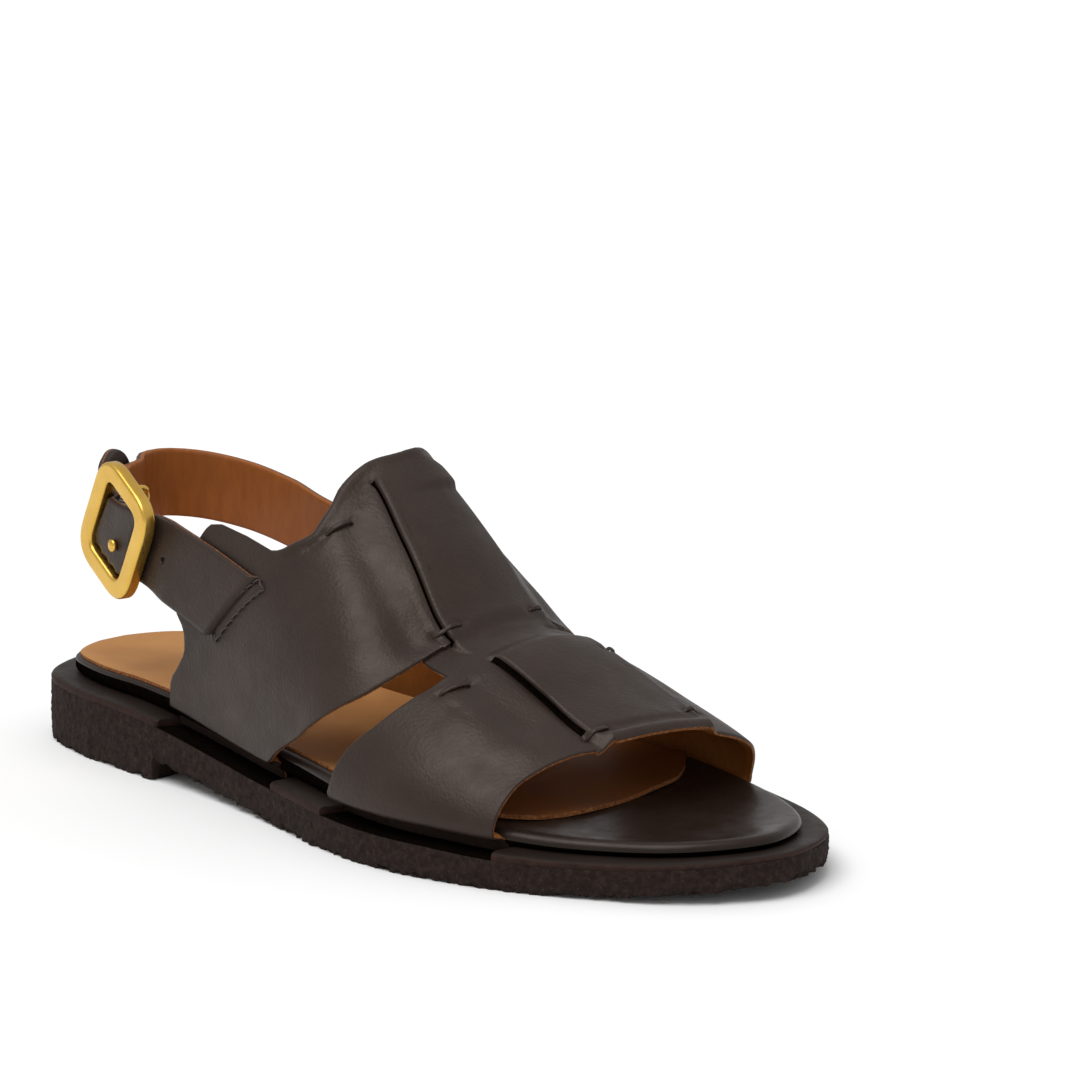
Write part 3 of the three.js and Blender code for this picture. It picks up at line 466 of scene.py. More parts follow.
class Look:
    """A node material with helpers for its colour, roughness and bump."""

    def __init__(self, name):
        self.material = bpy.data.materials.new(name)
        self.material.use_nodes = True
        self.tree = self.material.node_tree
        self.shader = self.tree.nodes["Principled BSDF"]
        self.place = self.tree.nodes.new("ShaderNodeTexCoord").outputs["Object"]

    def node(self, kind, **settings):
        node = self.tree.nodes.new(kind)
        for key, value in settings.items():
            if hasattr(node, key):
                setattr(node, key, value)
            else:
                node.inputs[key.replace("_", " ")].default_value = value
        return node

    def link(self, source, target):
        self.tree.links.new(source, target)
        return self

    def set(self, **values):
        for key, value in values.items():
            self.shader.inputs[key.replace("_", " ")].default_value = value
        return self

    def noise(self, scale, detail=3.0, roughness=0.55, stretch=None):
        node = self.node("ShaderNodeTexNoise", Scale=scale, Detail=detail, Roughness=roughness)
        self.link(self.stretched(stretch), node.inputs["Vector"])
        return node.outputs["Fac"]

    def cells(self, scale):
        node = self.node("ShaderNodeTexVoronoi", feature="SMOOTH_F1", Scale=scale)
        self.link(self.place, node.inputs["Vector"])
        return node.outputs["Distance"]

    def stretched(self, stretch):
        if not stretch:
            return self.place
        node = self.node("ShaderNodeMapping", Scale=stretch)
        self.link(self.place, node.inputs["Vector"])
        return node.outputs["Vector"]

    def ramp(self, source, *stops):
        node = self.node("ShaderNodeValToRGB")
        elements = node.color_ramp.elements
        while len(elements) < len(stops):
            elements.new(0.5)
        for element, (position, color) in zip(elements, stops):
            element.position = position
            element.color = (*color, 1.0)
        self.link(source, node.inputs["Fac"])
        return node.outputs["Color"]

    def spread(self, source, low, high, start=0.3, end=0.7):
        node = self.node("ShaderNodeMapRange")
        for key, value in (("From Min", start), ("From Max", end), ("To Min", low), ("To Max", high)):
            node.inputs[key].default_value = value
        self.link(source, node.inputs["Value"])
        return node.outputs["Result"]

    def mix(self, factor, a, b):
        node = self.node("ShaderNodeMix", data_type="RGBA")
        for value, target in ((a, node.inputs[6]), (b, node.inputs[7])):
            if isinstance(value, tuple):
                target.default_value = (*value, 1.0)
            else:
                self.link(value, target)
        self.link(factor, node.inputs[0])
        return node.outputs[2]

    def color(self, source):
        return self.link(source, self.shader.inputs["Base Color"])

    def rough(self, source):
        return self.link(source, self.shader.inputs["Roughness"])

    def bump(self, *layers):
        """Bumps one over another, each with its height in millimetres."""
        normal = None
        for source, height in layers:
            node = self.node("ShaderNodeBump")
            node.inputs["Distance"].default_value = height * MM
            self.link(source, node.inputs["Height"])
            if normal is not None:
                self.link(normal, node.inputs["Normal"])
            normal = node.outputs["Normal"]
        return self.link(normal, self.shader.inputs["Normal"])


def plain_look(name, noise, stops, height=0.0, **values):
    """Look whose colour, and bump of a height in millimetres, follow one noise."""
    look = Look(name)
    source = look.noise(**noise)
    look.color(look.ramp(source, *stops)).set(**values)
    if height:
        look.bump((source, height))
    return look.material


def dark_leather(name="dark_leather", shine=0.42, lift=1.0, gloss=0.30, grain=1.0):
    look = Look(name)
    tone = look.noise(55, detail=4)
    fine = look.noise(1500, detail=2)
    low = tuple(lift * v for v in (0.022, 0.0135, 0.0105))
    high = tuple(lift * v for v in (0.033, 0.0215, 0.017))
    base = look.ramp(tone, (0.30, low), (0.72, high))
    dark = tuple(lift * v for v in (0.014, 0.0085, 0.0065))
    look.color(look.mix(look.spread(fine, 0.0, 0.35, 0.45, 0.75), base, dark))
    look.rough(look.spread(look.noise(160, detail=3), shine - 0.05, shine + 0.08))
    look.set(Specular_IOR_Level=gloss, Specular_Tint=(1.0, 0.88, 0.80, 1.0))
    look.bump((look.cells(1300), 0.07 * grain), (look.noise(420, detail=4), 0.08 * grain),
              (look.noise(90, detail=2), 0.10 * grain))
    return look.material


def tan_leather():
    look = Look("tan_leather")
    tone = look.noise(38, detail=5)
    base = look.ramp(tone, (0.28, (0.21, 0.068, 0.012)), (0.72, (0.32, 0.118, 0.026)))
    fibre = look.noise(900, detail=3, stretch=(1.0, 1.0, 0.35))
    look.color(look.mix(look.spread(fibre, 0.0, 0.30), base, (0.15, 0.045, 0.009)))
    look.rough(look.spread(tone, 0.60, 0.75))
    look.set(Specular_IOR_Level=0.1)
    look.bump((fibre, 0.05), (look.noise(260, detail=3), 0.06))
    return look.material


def sock_leather():
    """Tan leather, pale at the heel and darkened with painted shade under the bands and the toes."""
    look = Look("sock_leather")
    tone = look.noise(38, detail=5)
    pale = look.ramp(tone, (0.28, (0.40, 0.185, 0.066)), (0.72, (0.54, 0.275, 0.105)))
    shaded_tone = look.ramp(tone, (0.28, (0.13, 0.037, 0.006)), (0.72, (0.20, 0.066, 0.013)))
    split = look.node("ShaderNodeSeparateXYZ")
    look.link(look.place, split.inputs["Vector"])
    # Painted shade: the colour darkens from the heel toward the toes, under the bands.
    look.color(look.mix(look.spread(split.outputs["X"], 0.0, 1.0, -0.02, 0.05), pale, shaded_tone))
    look.rough(look.spread(tone, 0.50, 0.66))
    look.set(Specular_IOR_Level=0.03)
    look.bump((look.noise(900, detail=3), 0.05), (look.noise(260, detail=3), 0.06))
    return look.material


def strap_lining():
    stops = [(0.25, (0.235, 0.064, 0.006)), (0.75, (0.30, 0.088, 0.010))]
    return plain_look("strap_lining", dict(scale=500, detail=4, stretch=(1.0, 1.0, 0.3)), stops, 0.06,
                      Roughness=0.55, Specular_IOR_Level=0.35)


def raw_edge():
    stops = [(0.30, (0.10, 0.030, 0.008)), (0.55, (0.24, 0.085, 0.024)), (0.75, (0.42, 0.19, 0.07))]
    return plain_look("raw_edge", dict(scale=1400, detail=4), stops, 0.14, Roughness=0.85,
                      Specular_IOR_Level=0.25)


def shade():
    """Nearly black painted shade, for holes and for the ledge under the bands."""
    stops = [(0.35, (0.0020, 0.0014, 0.0010)), (0.70, (0.0050, 0.0034, 0.0025))]
    return plain_look("shaded_groove", dict(scale=1200), stops, Roughness=1.0, Specular_IOR_Level=0.0)


def thread():
    stops = [(0.3, (0.020, 0.014, 0.012)), (0.7, (0.050, 0.038, 0.032))]
    return plain_look("thread", dict(scale=2500), stops, Roughness=0.6)


def crepe():
    look = Look("crepe")
    grain = look.noise(520, detail=6, roughness=0.7)
    speck = look.noise(1500, detail=3, roughness=0.6)
    base = look.ramp(grain, (0.30, (0.008, 0.0045, 0.0038)), (0.52, (0.020, 0.0125, 0.0105)),
                     (0.72, (0.040, 0.0265, 0.022)))
    look.color(look.mix(look.spread(speck, 0.0, 0.6, 0.62, 0.76), base, (0.095, 0.070, 0.052)))
    look.set(Roughness=0.9, Specular_IOR_Level=0.2, Specular_Tint=(1.0, 0.85, 0.78, 1.0))
    look.bump((grain, 0.7), (look.cells(650), 0.5), (speck, 0.2))
    return look.material


def sole_skin():
    """The smooth cut side of the leather layer on the outsole."""
    look = Look("sole_skin")
    tone = look.noise(300, detail=4)
    look.color(look.ramp(tone, (0.30, (0.013, 0.0062, 0.0050)), (0.70, (0.030, 0.014, 0.011))))
    look.set(Roughness=0.7, Specular_IOR_Level=0.2, Specular_Tint=(1.0, 0.8, 0.72, 1.0))
    look.bump((look.noise(800, detail=4), 0.10))
    return look.material


def brass():
    look = Look("satin_brass")
    tone = look.noise(120, detail=3)
    look.color(look.ramp(tone, (0.3, (0.68, 0.41, 0.075)), (0.7, (0.78, 0.50, 0.11))))
    look.rough(look.spread(look.noise(900, detail=3), 0.26, 0.36))
    look.set(Metallic=1.0)
    look.bump((look.noise(1300, detail=2), 0.012))
    return look.material


def woven():
    look = Look("elastic_weave")
    wave = look.node("ShaderNodeTexWave", Scale=420.0, Distortion=1.5, bands_direction="Z")
    look.link(look.place, wave.inputs["Vector"])
    rib = wave.outputs["Fac"]
    look.color(look.ramp(rib, (0.2, (0.34, 0.29, 0.24)), (0.8, (0.58, 0.52, 0.45))))
    look.set(Roughness=0.85, Sheen_Weight=0.2)
    look.bump((rib, 0.15), (look.noise(1100, detail=2), 0.08))
    return look.material


DARK = dark_leather()
SHINY = dark_leather("footbed_leather", shine=0.33, lift=0.6, gloss=0.25, grain=0.4)
DULL = dark_leather("welt_leather", shine=0.50, lift=0.55, gloss=0.16)
TAN = tan_leather()
SOCK = sock_leather()
RAW = raw_edge()
SHADE = shade()
LINING = strap_lining()
CREPE = crepe()
SKIN = sole_skin()
BRASS = brass()
WEAVE = woven()
THREAD = thread()

# Sole, welt and footbed

SIDE_ROWS = 18
SIDE_TOP = 0.3
NIBBLE_HEIGHT = 1.2


def ring_solid(name, rings, looks, low, high, sharp=35.0):
    """Solid of rings from the lowest up. `low` is the look and number of its lowest rows, and `high` is
    the look of the rows above and the top. The underside takes the first look."""
    faces = ring_faces(len(rings), LOOP_COUNT)
    kinds = np.full(len(faces), high)
    kinds[:low[1] * LOOP_COUNT] = low[0]
    sides = (len(rings) - 1) * LOOP_COUNT
    kinds[sides:sides + LOOP_COUNT // 2] = 0
    return add_mesh(name, np.vstack(rings), faces, looks, kinds, sharp)


def outsole():
    """Crepe sole with a rough side and a nibbled lower edge."""
    outer, bottom = loop_at(0.0), loop_at(3.0)
    under, top = sole_under(outer[:, 0]), sole_top(outer[:, 0])
    rings = [np.column_stack([bottom, sole_under(bottom[:, 0])])]
    for share in np.linspace(0, 1, SIDE_ROWS):
        z = lerp(under, top - SIDE_TOP, share)
        ring = np.column_stack([outer, z])
        bite = rough(ring, 0.16, 4.0) * 0.30 + rough(ring, 0.55, 9.0) * 0.30 + rough(ring, 1.3, 2.0) * 0.22
        low = hump(z - under, NIBBLE_HEIGHT)
        nibble = np.maximum(rough(ring, 0.45, 7.0), -0.2) + 0.5 * np.maximum(rough(ring, 1.1, 3.0), 0)
        ring[:, :2] += INWARD * (bite + low * (0.5 + 1.5 * nibble))[:, None]
        ring[:, 2] += low * 1.3 * np.maximum(rough(ring, 0.5, 5.0) + 0.1, 0)
        rings.append(ring)
    rings += [np.column_stack([loop_at(0.3), top - 0.1]), np.column_stack([loop_at(0.8), top])]
    # Painted shade: the ledge and top of the sole, under the bands, take the nearly black look.
    piece = ring_solid("Outsole", rings, [CREPE, SHADE], (0, SIDE_ROWS + 1), 1)
    finish_piece(piece, "outsole")


NOTCH_SLOPE = 2.4
NOTCH_FLOOR = 0.4
# Edge of the welt from below. Columns: inset, level between its underside and its top
WELT_EDGE = [(0.15, -0.1), (0.0, 0.2), (0.0, 0.5), (0.3, 0.78), (0.9, 0.95), (1.9, 1.0)]


def notch_depth(points):
    """1 where the welt is cut back for the bands and 0 elsewhere, at points of the sole's outline."""
    x, y = points.T
    depth = np.zeros(len(points))
    for side in (-1, 1):
        for start, end in ((COLLAR_EDGE, QUARTER_FRONT_EDGE), (VAMP_REAR_EDGE, TOE_EDGE)):
            rear = edge_along(start, side) - 2 * BAND_CLEARANCE
            front = edge_along(end, side) + 2 * BAND_CLEARANCE
            step = smooth((x - rear) / NOTCH_SLOPE) * smooth((front - x) / NOTCH_SLOPE)
            depth = np.where(y * side > 0, np.maximum(depth, step), depth)
    return depth


def welt():
    """Flange of the welt, stepped in where the bands go down."""
    outer = loop_at(0.0)
    notch = notch_depth(outer)
    inner_y = edge_beside(outer[:, 0], outer[:, 1], FLANGE + TUCK_DEPTH + 3 * GAP)
    rings = []
    for inset, level in WELT_EDGE:
        loop = loop_at(inset)
        x = lerp(loop[:, 0], outer[:, 0], notch)
        low = sole_top(x)
        top = lerp(welt_top(x), low + NOTCH_FLOOR, 0.75 * notch)
        rings.append(np.column_stack([x, lerp(loop[:, 1], inner_y, notch), lerp(low, top, level)]))
    finish_piece(ring_solid("Welt", rings, [DULL, SKIN], (1, 3), 0), "welt")


DISH_DEPTH = 0.7
DISH_RIM = 3.0
DISH_SLOPE = 9.0
SIDE_RINGS = 3


def dish(x, y):
    """Depth of the footbed's hollow at a place, nothing at its rim."""
    low, high = edge_at(x, -1, FLANGE), edge_at(x, 1, FLANGE)
    ends = np.minimum(x - HEEL_X - FLANGE, -HEEL_X - FLANGE - x)
    rim = np.minimum(np.minimum(y - low, high - y), ends)
    return DISH_DEPTH * smooth((rim - DISH_RIM) / DISH_SLOPE)


def toward_toe(x):
    """0 at the heel and 1 from the ball on, for forms that are rounder at the toe."""
    return ramp(x, -60, 30)


def footbed():
    """Padded platform wrapped in leather, sharper at the heel and round at the toe, with a shallow dish."""
    rise = FOOTBED_ROUND * lerp(0.55, 1.25, toward_toe(loop_at(FLANGE)[:, 0]))
    rings = []
    for inset, low in ((1.2, 0.2), (0.35, 0.7), (0.0, 1.4)):
        loop = loop_at(FLANGE + inset)
        rings.append(np.column_stack([loop, welt_top(loop[:, 0]) + low]))
    for turn in np.linspace(0, math.pi / 2, 7):
        loop = loop_at(FLANGE + rise * (1 - math.cos(turn)))
        rings.append(np.column_stack([loop, footbed_top(loop[:, 0]) - rise * (1 - math.sin(turn))]))
    rim_x, rim_y = rings[-1][:, :2].T
    spine_x = rim_x * 0.8
    spine_y = (edge_at(spine_x, -1, FLANGE) + edge_at(spine_x, 1, FLANGE)) / 2
    for share in (0.04, 0.09, 0.15, 0.22, 0.30, 0.42, 0.56, 0.74, 0.92):
        x, y = lerp(rim_x, spine_x, share), lerp(rim_y, spine_y, share)
        rings.append(np.column_stack([x, y, footbed_top(x) - dish(x, y)]))
    # Painted shade: the footbed's side below its rounded rim takes the nearly black look.
    piece = ring_solid("Footbed", rings, [SHINY, SHADE], (1, SIDE_RINGS), 0, sharp=60)
    finish_piece(piece, "footbed")


SOCK_INSET = 1.0
SOCK_SHAPE = (110, 60)
SOCK_SUNK = 0.25
CURL_LENGTH = 9.0
CURL_HEIGHT = 0.9


def sock_lining():
    """Tan sheet on the footbed. Its front edge is cut raw and lifts a little."""
    wide, narrow = FLANGE + FOOTBED_ROUND * 0.55 + 0.3, FLANGE + FOOTBED_ROUND + SOCK_INSET
    i, j = np.meshgrid(*(np.linspace(0, 1, count) for count in SOCK_SHAPE), indexing="ij")
    front = edge_along(SOCK_FRONT, j)
    denser_behind = lerp(i, np.sin(i * np.pi / 2 * 0.999)**2, 0.5 * (1 - i))
    x = lerp(loop_at(wide)[0, 0] + 0.5, front, denser_behind)
    low, high = (lerp(edge_at(x, side, wide), edge_at(x, side, narrow), toward_toe(x)) for side in (-1, 1))
    y = lerp(low, high, j)
    points = np.stack([x, y, footbed_top(x) - dish(x, y)], axis=-1)
    curl = CURL_HEIGHT * np.maximum(0, 1 - (front - x) / CURL_LENGTH)**2
    lift = curl * (0.6 + 0.5 * rough(points, 0.07, 3.0)) + 0.10 * rough(points, 0.05, 8.0)
    outer, inner = points.copy(), points.copy()
    outer[..., 2] += SOCK_THICKNESS + lift
    inner[..., 2] += np.maximum(lift, 0) - SOCK_SUNK
    faces, kinds = sheet_faces(SOCK_SHAPE)
    piece = add_mesh("Sock_lining", np.stack([outer, inner]), faces, [SOCK, SOCK, RAW], kinds)
    finish_piece(piece, "sock_lining")


# Upper: relief of the panel, slits, creases and edges

REAR_SLIT = (-10.3, 30.5)
FRONT_SLIT = (39.5, 72.5)
BETWEEN_SLITS = (33, 38)
CLOSED_SPREAD = (-2.6, 3.0)
panel_girths = column(PANEL_EDGES, 1), column(PANEL_EDGES, 2)
panel_lift = column(PANEL_EDGES, 3)


def panel_edge(x, side):
    """Girth of the panel's edge at x on a side."""
    return sided(panel_girths, side, x)


# Section across a slit, from the panel's top to the side leather. Columns: distance from the panel's edge
# away from the ridge, and height, for the narrow rear slit and for the wide front slit.
SLIT_SECTION = [
    (-3.2, 1.5, -3.2, 1.5), (-1.5, 1.5, -1.6, 1.6), (-0.7, 1.47, -0.7, 1.6), (-0.25, 1.3, -0.2, 1.45),
    (0, 0.95, 0, 1.1), (0.02, 0.2, -0.1, 0.5), (0.08, -0.6, -0.2, -0.2), (0.25, -0.9, 0, -0.9),
    (0.45, -0.6, 0.35, -1.05), (0.6, 0, 0.9, -0.8), (0.85, 0.25, 1.8, -0.45), (1.6, 0.3, 3.2, -0.18),
    (3.2, 0.2, 5.2, -0.02),
]


def slit_open(x):
    """How far the rear or the front slit stands open at x."""
    rear = smooth((x - REAR_SLIT[0]) / 2.5) * smooth((REAR_SLIT[1] - x) / 2.0)
    u = np.clip((x - FRONT_SLIT[0]) / (FRONT_SLIT[1] - FRONT_SLIT[0]), 0, 1)
    front = np.sin(np.pi * u**0.9)**0.7
    return np.maximum(rear, np.where((u > 0) & (u < 1), front, 0.0))


STEP_WIDTH = 3.0
COLLAR_STEP_WIDTH = 27.0


def step_height(x, distance):
    """Panel's rise at a distance from its edge, where no slit is open."""
    width = lerp(STEP_WIDTH, COLLAR_STEP_WIDTH, smooth((REAR_SLIT[0] + 3 - x) / 9))
    return PANEL_RISE * panel_lift(share_of(x)) * (1 - smooth((distance + width / 2) / width))


# Creases and swells: places (x, girth), half width and depth. A negative depth is a swell.
CREASES = [
    ([(-8, -0.30), (0, -0.33), (10.1, -0.35), (19.9, -0.37), (27, -0.37)], 4.4, 1.2),
    ([(-6, -0.46), (6, -0.49), (18, -0.52), (26, -0.54)], 8.0, -0.4),
    ([(-8, 0.30), (0, 0.33), (10, 0.35), (20, 0.37), (27, 0.37)], 4.4, 1.1),
    ([(-6, 0.46), (6, 0.49), (18, 0.52), (26, 0.54)], 8.0, -0.4),
    ([(-9.5, -0.43), (-12, -0.50)], 1.5, 0.45),
    ([(-6.5, -0.26), (-10.5, -0.18)], 2.2, 0.45),
    ([(40, -0.33), (52, -0.36), (64, -0.36)], 4.5, 0.7),
    ([(40.5, 0.36), (52, 0.39), (64, 0.38)], 4.0, 0.5),
    ([(45, -0.46), (58, -0.50), (70, -0.46)], 6.0, -0.5),
    ([(33.5, -0.20), (34.8, 0.0), (34.5, 0.16)], 2.4, 0.5),
    ([(36.8, -0.40), (35.0, -0.48)], 1.2, 0.4),
    ([(42.5, -0.46), (50, -0.47)], 1.1, 0.3),
    ([(33.2, 0.15), (33.6, 0.36)], 1.2, 0.9),
    ([(-15, 0.11), (-9, 0.13), (-2, 0.14)], 9.0, -1.5),
    ([(-23.0, -0.660), (-40.2, -0.840)], 1.7, -0.6),
    ([(60, -0.60), (70, -0.66)], 6.0, 0.25),
    ([(45, 0.10), (58, 0.12), (72, 0.10)], 6.0, 0.25),
]
BARS = [
    ((-9.2, -0.41), (-5.8, -0.31)), ((25.6, -0.29), (27.2, -0.19)), ((38.7, -0.45), (42.1, -0.35)),
    ((72.1, -0.28), (72.7, -0.18)), ((-9.0, 0.41), (-5.8, 0.31)), ((28.0, 0.15), (25.5, 0.30)),
    ((46.4, 0.25), (44.1, 0.35)), ((73.6, 0.20), (71.8, 0.34)),
]
BAR_HOLE = (1.1, 0.8)
TOE_ROLL = (-0.25, 0.27)
GROOVE = (5, 9)


def nearest(points, line):
    """Distance from each point to a dense line, and how far along it the nearest place is."""
    tree = kdtree.KDTree(len(line))
    for k, place in enumerate(line):
        tree.insert(place, k)
    tree.balance()
    found = [tree.find(p) for p in points.reshape(-1, 3)]
    shape = points.shape[:-1]
    distance = np.array([f[2] for f in found]).reshape(shape)
    share = np.array([f[1] for f in found]).reshape(shape) / max(len(line) - 1, 1)
    return distance, share


def crease_height(points):
    """Sum of the listed creases at points of the plain surface."""
    height = np.zeros(points.shape[:-1])
    for places, width, depth in CREASES:
        steps = np.linspace(0, 1, len(places))
        t = np.linspace(0, 1, 70)
        x = np.interp(t, steps, [p[0] for p in places])
        girth = np.interp(t, steps, [p[1] for p in places])
        distance, share = nearest(points, upper_point(x, girth))
        fade = smooth(np.minimum(share, 1 - share) * 5 + 0.25)
        height -= depth * fade * hump(distance, width)
    width, depth = BAR_HOLE
    ends = np.array([end for bar in BARS for end in bar])
    for place in upper_point(ends[:, 0], ends[:, 1]):
        height -= depth * hump(np.linalg.norm(points - place, axis=-1), width)
    return height


def toe_roll(x, girth):
    """The rolled lip of the toe edge between the two bars."""
    back = edge_along(TOE_EDGE, girth) - x
    along = smooth((girth - TOE_ROLL[0]) / 0.03) * smooth((TOE_ROLL[1] - girth) / 0.03)
    return along * (hump(back - 1.6, 1.6) - 0.6 * hump(back - 4.8, 1.0))


EDGE_ROWS = [0.0, 0.12, 0.35, 0.75, 1.4]
BAND_ROWS = {0: 66, 1: 12, 2: 56}
EDGE_RADIUS = 0.5
ROLL_RADIUS = 0.9
COLLAR_SHIFT = 0.8
COLLAR_GIRTH = 0.57
PANEL_MARK = 0.25
FLARE = 2.5
BORDER_STEPS = 12
WAIST_DROP = 1.1
WAIST_RUN = 8.0
COLLAR_LIP = 0.5


def upper_columns():
    """Columns of the upper's grid: girth mark, and place in the slit's section or -1."""
    slit = [(PANEL_MARK, k) for k in range(len(SLIT_SECTION))]
    panel = [(mark, -1) for mark in np.linspace(0, 0.215, 11)]
    waist = [(mark, -1) for mark in (0.292, 0.305, 0.32, 0.335, 0.35, 0.362, 0.370, WAIST_GIRTH)]
    side = [(mark, -1) for mark in np.linspace(WAIST_GIRTH + 0.012, 1.0, 44)]
    tuck = [(mark, -1) for mark in np.linspace(1.0, TUCK_GIRTH, 11)[1:]]
    half = panel + slit + waist + side + tuck
    marks = [-mark for mark, _ in half[:0:-1]] + [mark for mark, _ in half]
    slots = [slot for _, slot in half[:0:-1]] + [slot for _, slot in half]
    sides = [-1] * (len(half) - 1) + [1] * len(half)
    return np.array(marks), np.array(slots), np.array(sides)


def mark_girth(marks, sides, x):
    """Girth of a mark at x: marks of the panel spread with its edge, and those past the waist stay."""
    size = np.abs(marks)
    edge = panel_edge(x, sides)
    between = lerp(edge, WAIST_GIRTH, (size - PANEL_MARK) / (WAIST_GIRTH - PANEL_MARK))
    girth = np.where(size <= PANEL_MARK, size / PANEL_MARK * edge, np.where(size < WAIST_GIRTH, between, size))
    return np.where(marks < 0, -girth, girth)


def row_places(part, start, end):
    """x of a band's rows at each column, from its rear to its front edge, close together at the edges."""
    margin = EDGE_ROWS[-1]
    rows = [start + offset for offset in EDGE_ROWS]
    for share in np.linspace(0, 1, BAND_ROWS[part] + 2)[1:-1]:
        rows.append(lerp(start + margin, end - margin, share))
    rows += [end - offset for offset in reversed(EDGE_ROWS)]
    return rows


def upper_grid():
    """x, girth mark, slit place and side at each point of the upper's grid, and the part of each row."""
    marks, slots, sides = upper_columns()
    edges = [edge_along(rows, marks) for rows in (COLLAR_EDGE, QUARTER_FRONT_EDGE, VAMP_REAR_EDGE, TOE_EDGE)]
    edges[0] = edges[0] - COLLAR_SHIFT * smooth((COLLAR_GIRTH - np.abs(marks)) / 0.1)
    edges[1] = edges[1] - FLARE * smooth((np.abs(marks) - 0.93) / 0.12)
    rows, parts = [], []
    for part in range(3):
        places = row_places(part, edges[part], edges[part + 1])[min(part, 1):]
        rows += places
        parts += [part] * len(places)
    x = np.array(rows)
    marks, slots, sides = (np.broadcast_to(v, x.shape) for v in (marks, slots, sides))
    return x, marks, slots, sides, np.array(parts)


def slit_offsets(x, slots, distance):
    """Shift away from the ridge and height of the slit's own columns."""
    section = np.array(SLIT_SECTION)
    row = section[np.clip(slots, 0, len(section) - 1)]
    open_shift, open_height = (lerp(row[..., k], row[..., k + 2], ramp(x, *BETWEEN_SLITS)) for k in (0, 1))
    open_height *= np.where(open_height > 0, panel_lift(share_of(x)), 1.0)
    amount = slit_open(x)
    shift = lerp(lerp(*CLOSED_SPREAD, slots / (len(section) - 1)), open_shift, amount)
    height = lerp(step_height(x, shift), open_height, amount)
    return np.where(slots >= 0, shift, distance), np.where(slots >= 0, height, step_height(x, distance))


def waist_rows(parts):
    """First and last row of the grid at the waist, along the cut-outs."""
    return int(np.argmax(parts == 1)) - 1, int(np.argmax(parts == 2)) - 1


def upper_present(marks, parts):
    """Cells of the grid that are leather: all but the cut-outs beside the waist."""
    first, last = waist_rows(parts)
    present = np.ones((len(parts) - 1, len(marks) - 1), bool)
    outside = np.maximum(np.abs(marks[:-1]), np.abs(marks[1:])) > WAIST_GIRTH + 1e-6
    present[first:last, outside] = False
    return present


def border_reach(base, marks, parts):
    """Distance of each point of the plain surface from the nearest free edge."""
    first, last = waist_rows(parts)
    borders = [base[0], base[-1]]
    for row in (first, last):
        borders += [base[row, side * marks >= WAIST_GIRTH - 1e-6] for side in (-1, 1)]
    for k in np.argwhere(np.abs(np.abs(marks) - WAIST_GIRTH) < 1e-6).ravel():
        borders.append(base[first:last + 1, k])
    dense = []
    for border in borders:
        known = np.arange(len(border))
        steps = np.linspace(0, known[-1], known[-1] * BORDER_STEPS + 1)
        dense.append(np.column_stack([np.interp(steps, known, part) for part in border.T]))
    return nearest(base, np.vstack(dense))[0]


def waist_drop(x, girth, parts):
    """How far the waist beside the panel dips to pass under the vamp's rear edge."""
    first, last = waist_rows(parts)
    row = np.arange(len(parts))
    in_waist = ((row > first) & (row < last))[:, None]
    beside = smooth((np.abs(girth) - panel_edge(x, girth)) / 0.02 + 0.3)
    back = np.clip((edge_along(VAMP_REAR_EDGE, girth) - x) / WAIST_RUN, 0, 1)
    return WAIST_DROP * in_waist * beside * smooth(back)


def upper_kinds(faces, kinds, x, girth, slots):
    """Looks of the upper's faces: painted shade in the grooves of the slits, and leather over the collar's
    edge.
    """
    kinds = np.array(kinds)
    # Painted shade: faces at the bottom of an open slit take the nearly black look.
    dark = ((slots >= GROOVE[0]) & (slots <= GROOVE[1]) & (slit_open(x) > 0.2)).ravel()
    at_collar = (np.abs(girth) < COLLAR_GIRTH).ravel()
    for k, face in enumerate(faces):
        first = min(face)
        if kinds[k] == 0 and all(dark[v] for v in face):
            kinds[k] = 3
        elif kinds[k] == 2 and first < x.shape[1] and at_collar[first]:
            kinds[k] = 0
    return kinds


def upper():
    """One wall over the last: quarter, waist and vamp with the raised panel, open at collar, toe and sides."""
    x, marks, slots, sides, parts = upper_grid()
    girth = mark_girth(marks, sides, x)
    edge = panel_edge(x, sides)
    length = girth_length(x, girth)
    shift, height = slit_offsets(x, slots, (np.abs(girth) - edge) * length)
    girth = np.where(slots >= 0, sides * (edge + shift / length), girth)
    base, normal = upper_point(x, girth), upper_normal(x, girth)
    relief = height + crease_height(base) + toe_roll(x, girth) - waist_drop(x, girth, parts)
    relief += 0.09 * rough(base, 0.06, 2.0) + 0.04 * rough(base, 0.14, 6.0)

    reach = border_reach(base, marks[0], parts)
    near_collar = np.arange(len(parts)) < waist_rows(parts)[0] / 2
    rolled = near_collar[:, None] & (np.abs(girth) < COLLAR_GIRTH)
    radius = np.where(rolled, ROLL_RADIUS, EDGE_RADIUS)
    relief += COLLAR_LIP * rolled * hump(reach - 1.4, 1.3)
    drop = radius - np.sqrt(np.maximum(radius**2 - np.maximum(radius - reach, 0)**2, 0))
    inner_drop = np.where(rolled, 0.35, 0.8) * (1 - smooth(reach / 2.0))
    inner_drop += 0.85 * np.maximum(relief, 0) * ~rolled * (1 - smooth(reach / 4.0))
    sag = np.minimum(relief, 0) * 0.5
    outer = base + normal * (relief - drop)[..., None]
    inner = base - normal * (BAND_WALL - inner_drop - sag)[..., None]
    faces, kinds = sheet_faces(x.shape, upper_present(marks[0], parts))
    kinds = upper_kinds(faces, kinds, x, girth, slots)
    piece = add_mesh("Upper", np.stack([outer, inner]), faces, [DARK, TAN, RAW, SHADE], kinds, sharp=42)
    finish_piece(piece, "upper")


def outer_place(x, girth):
    """A place on the finished outer surface of the upper, and its normal."""
    base, normal = upper_point(x, girth), upper_normal(x, girth)
    distance = (np.abs(girth) - panel_edge(x, girth)) * girth_length(x, girth)
    height = step_height(x, distance) + toe_roll(x, girth)
    return base + normal * height[..., None], normal


BAR_SUNK = 1.3


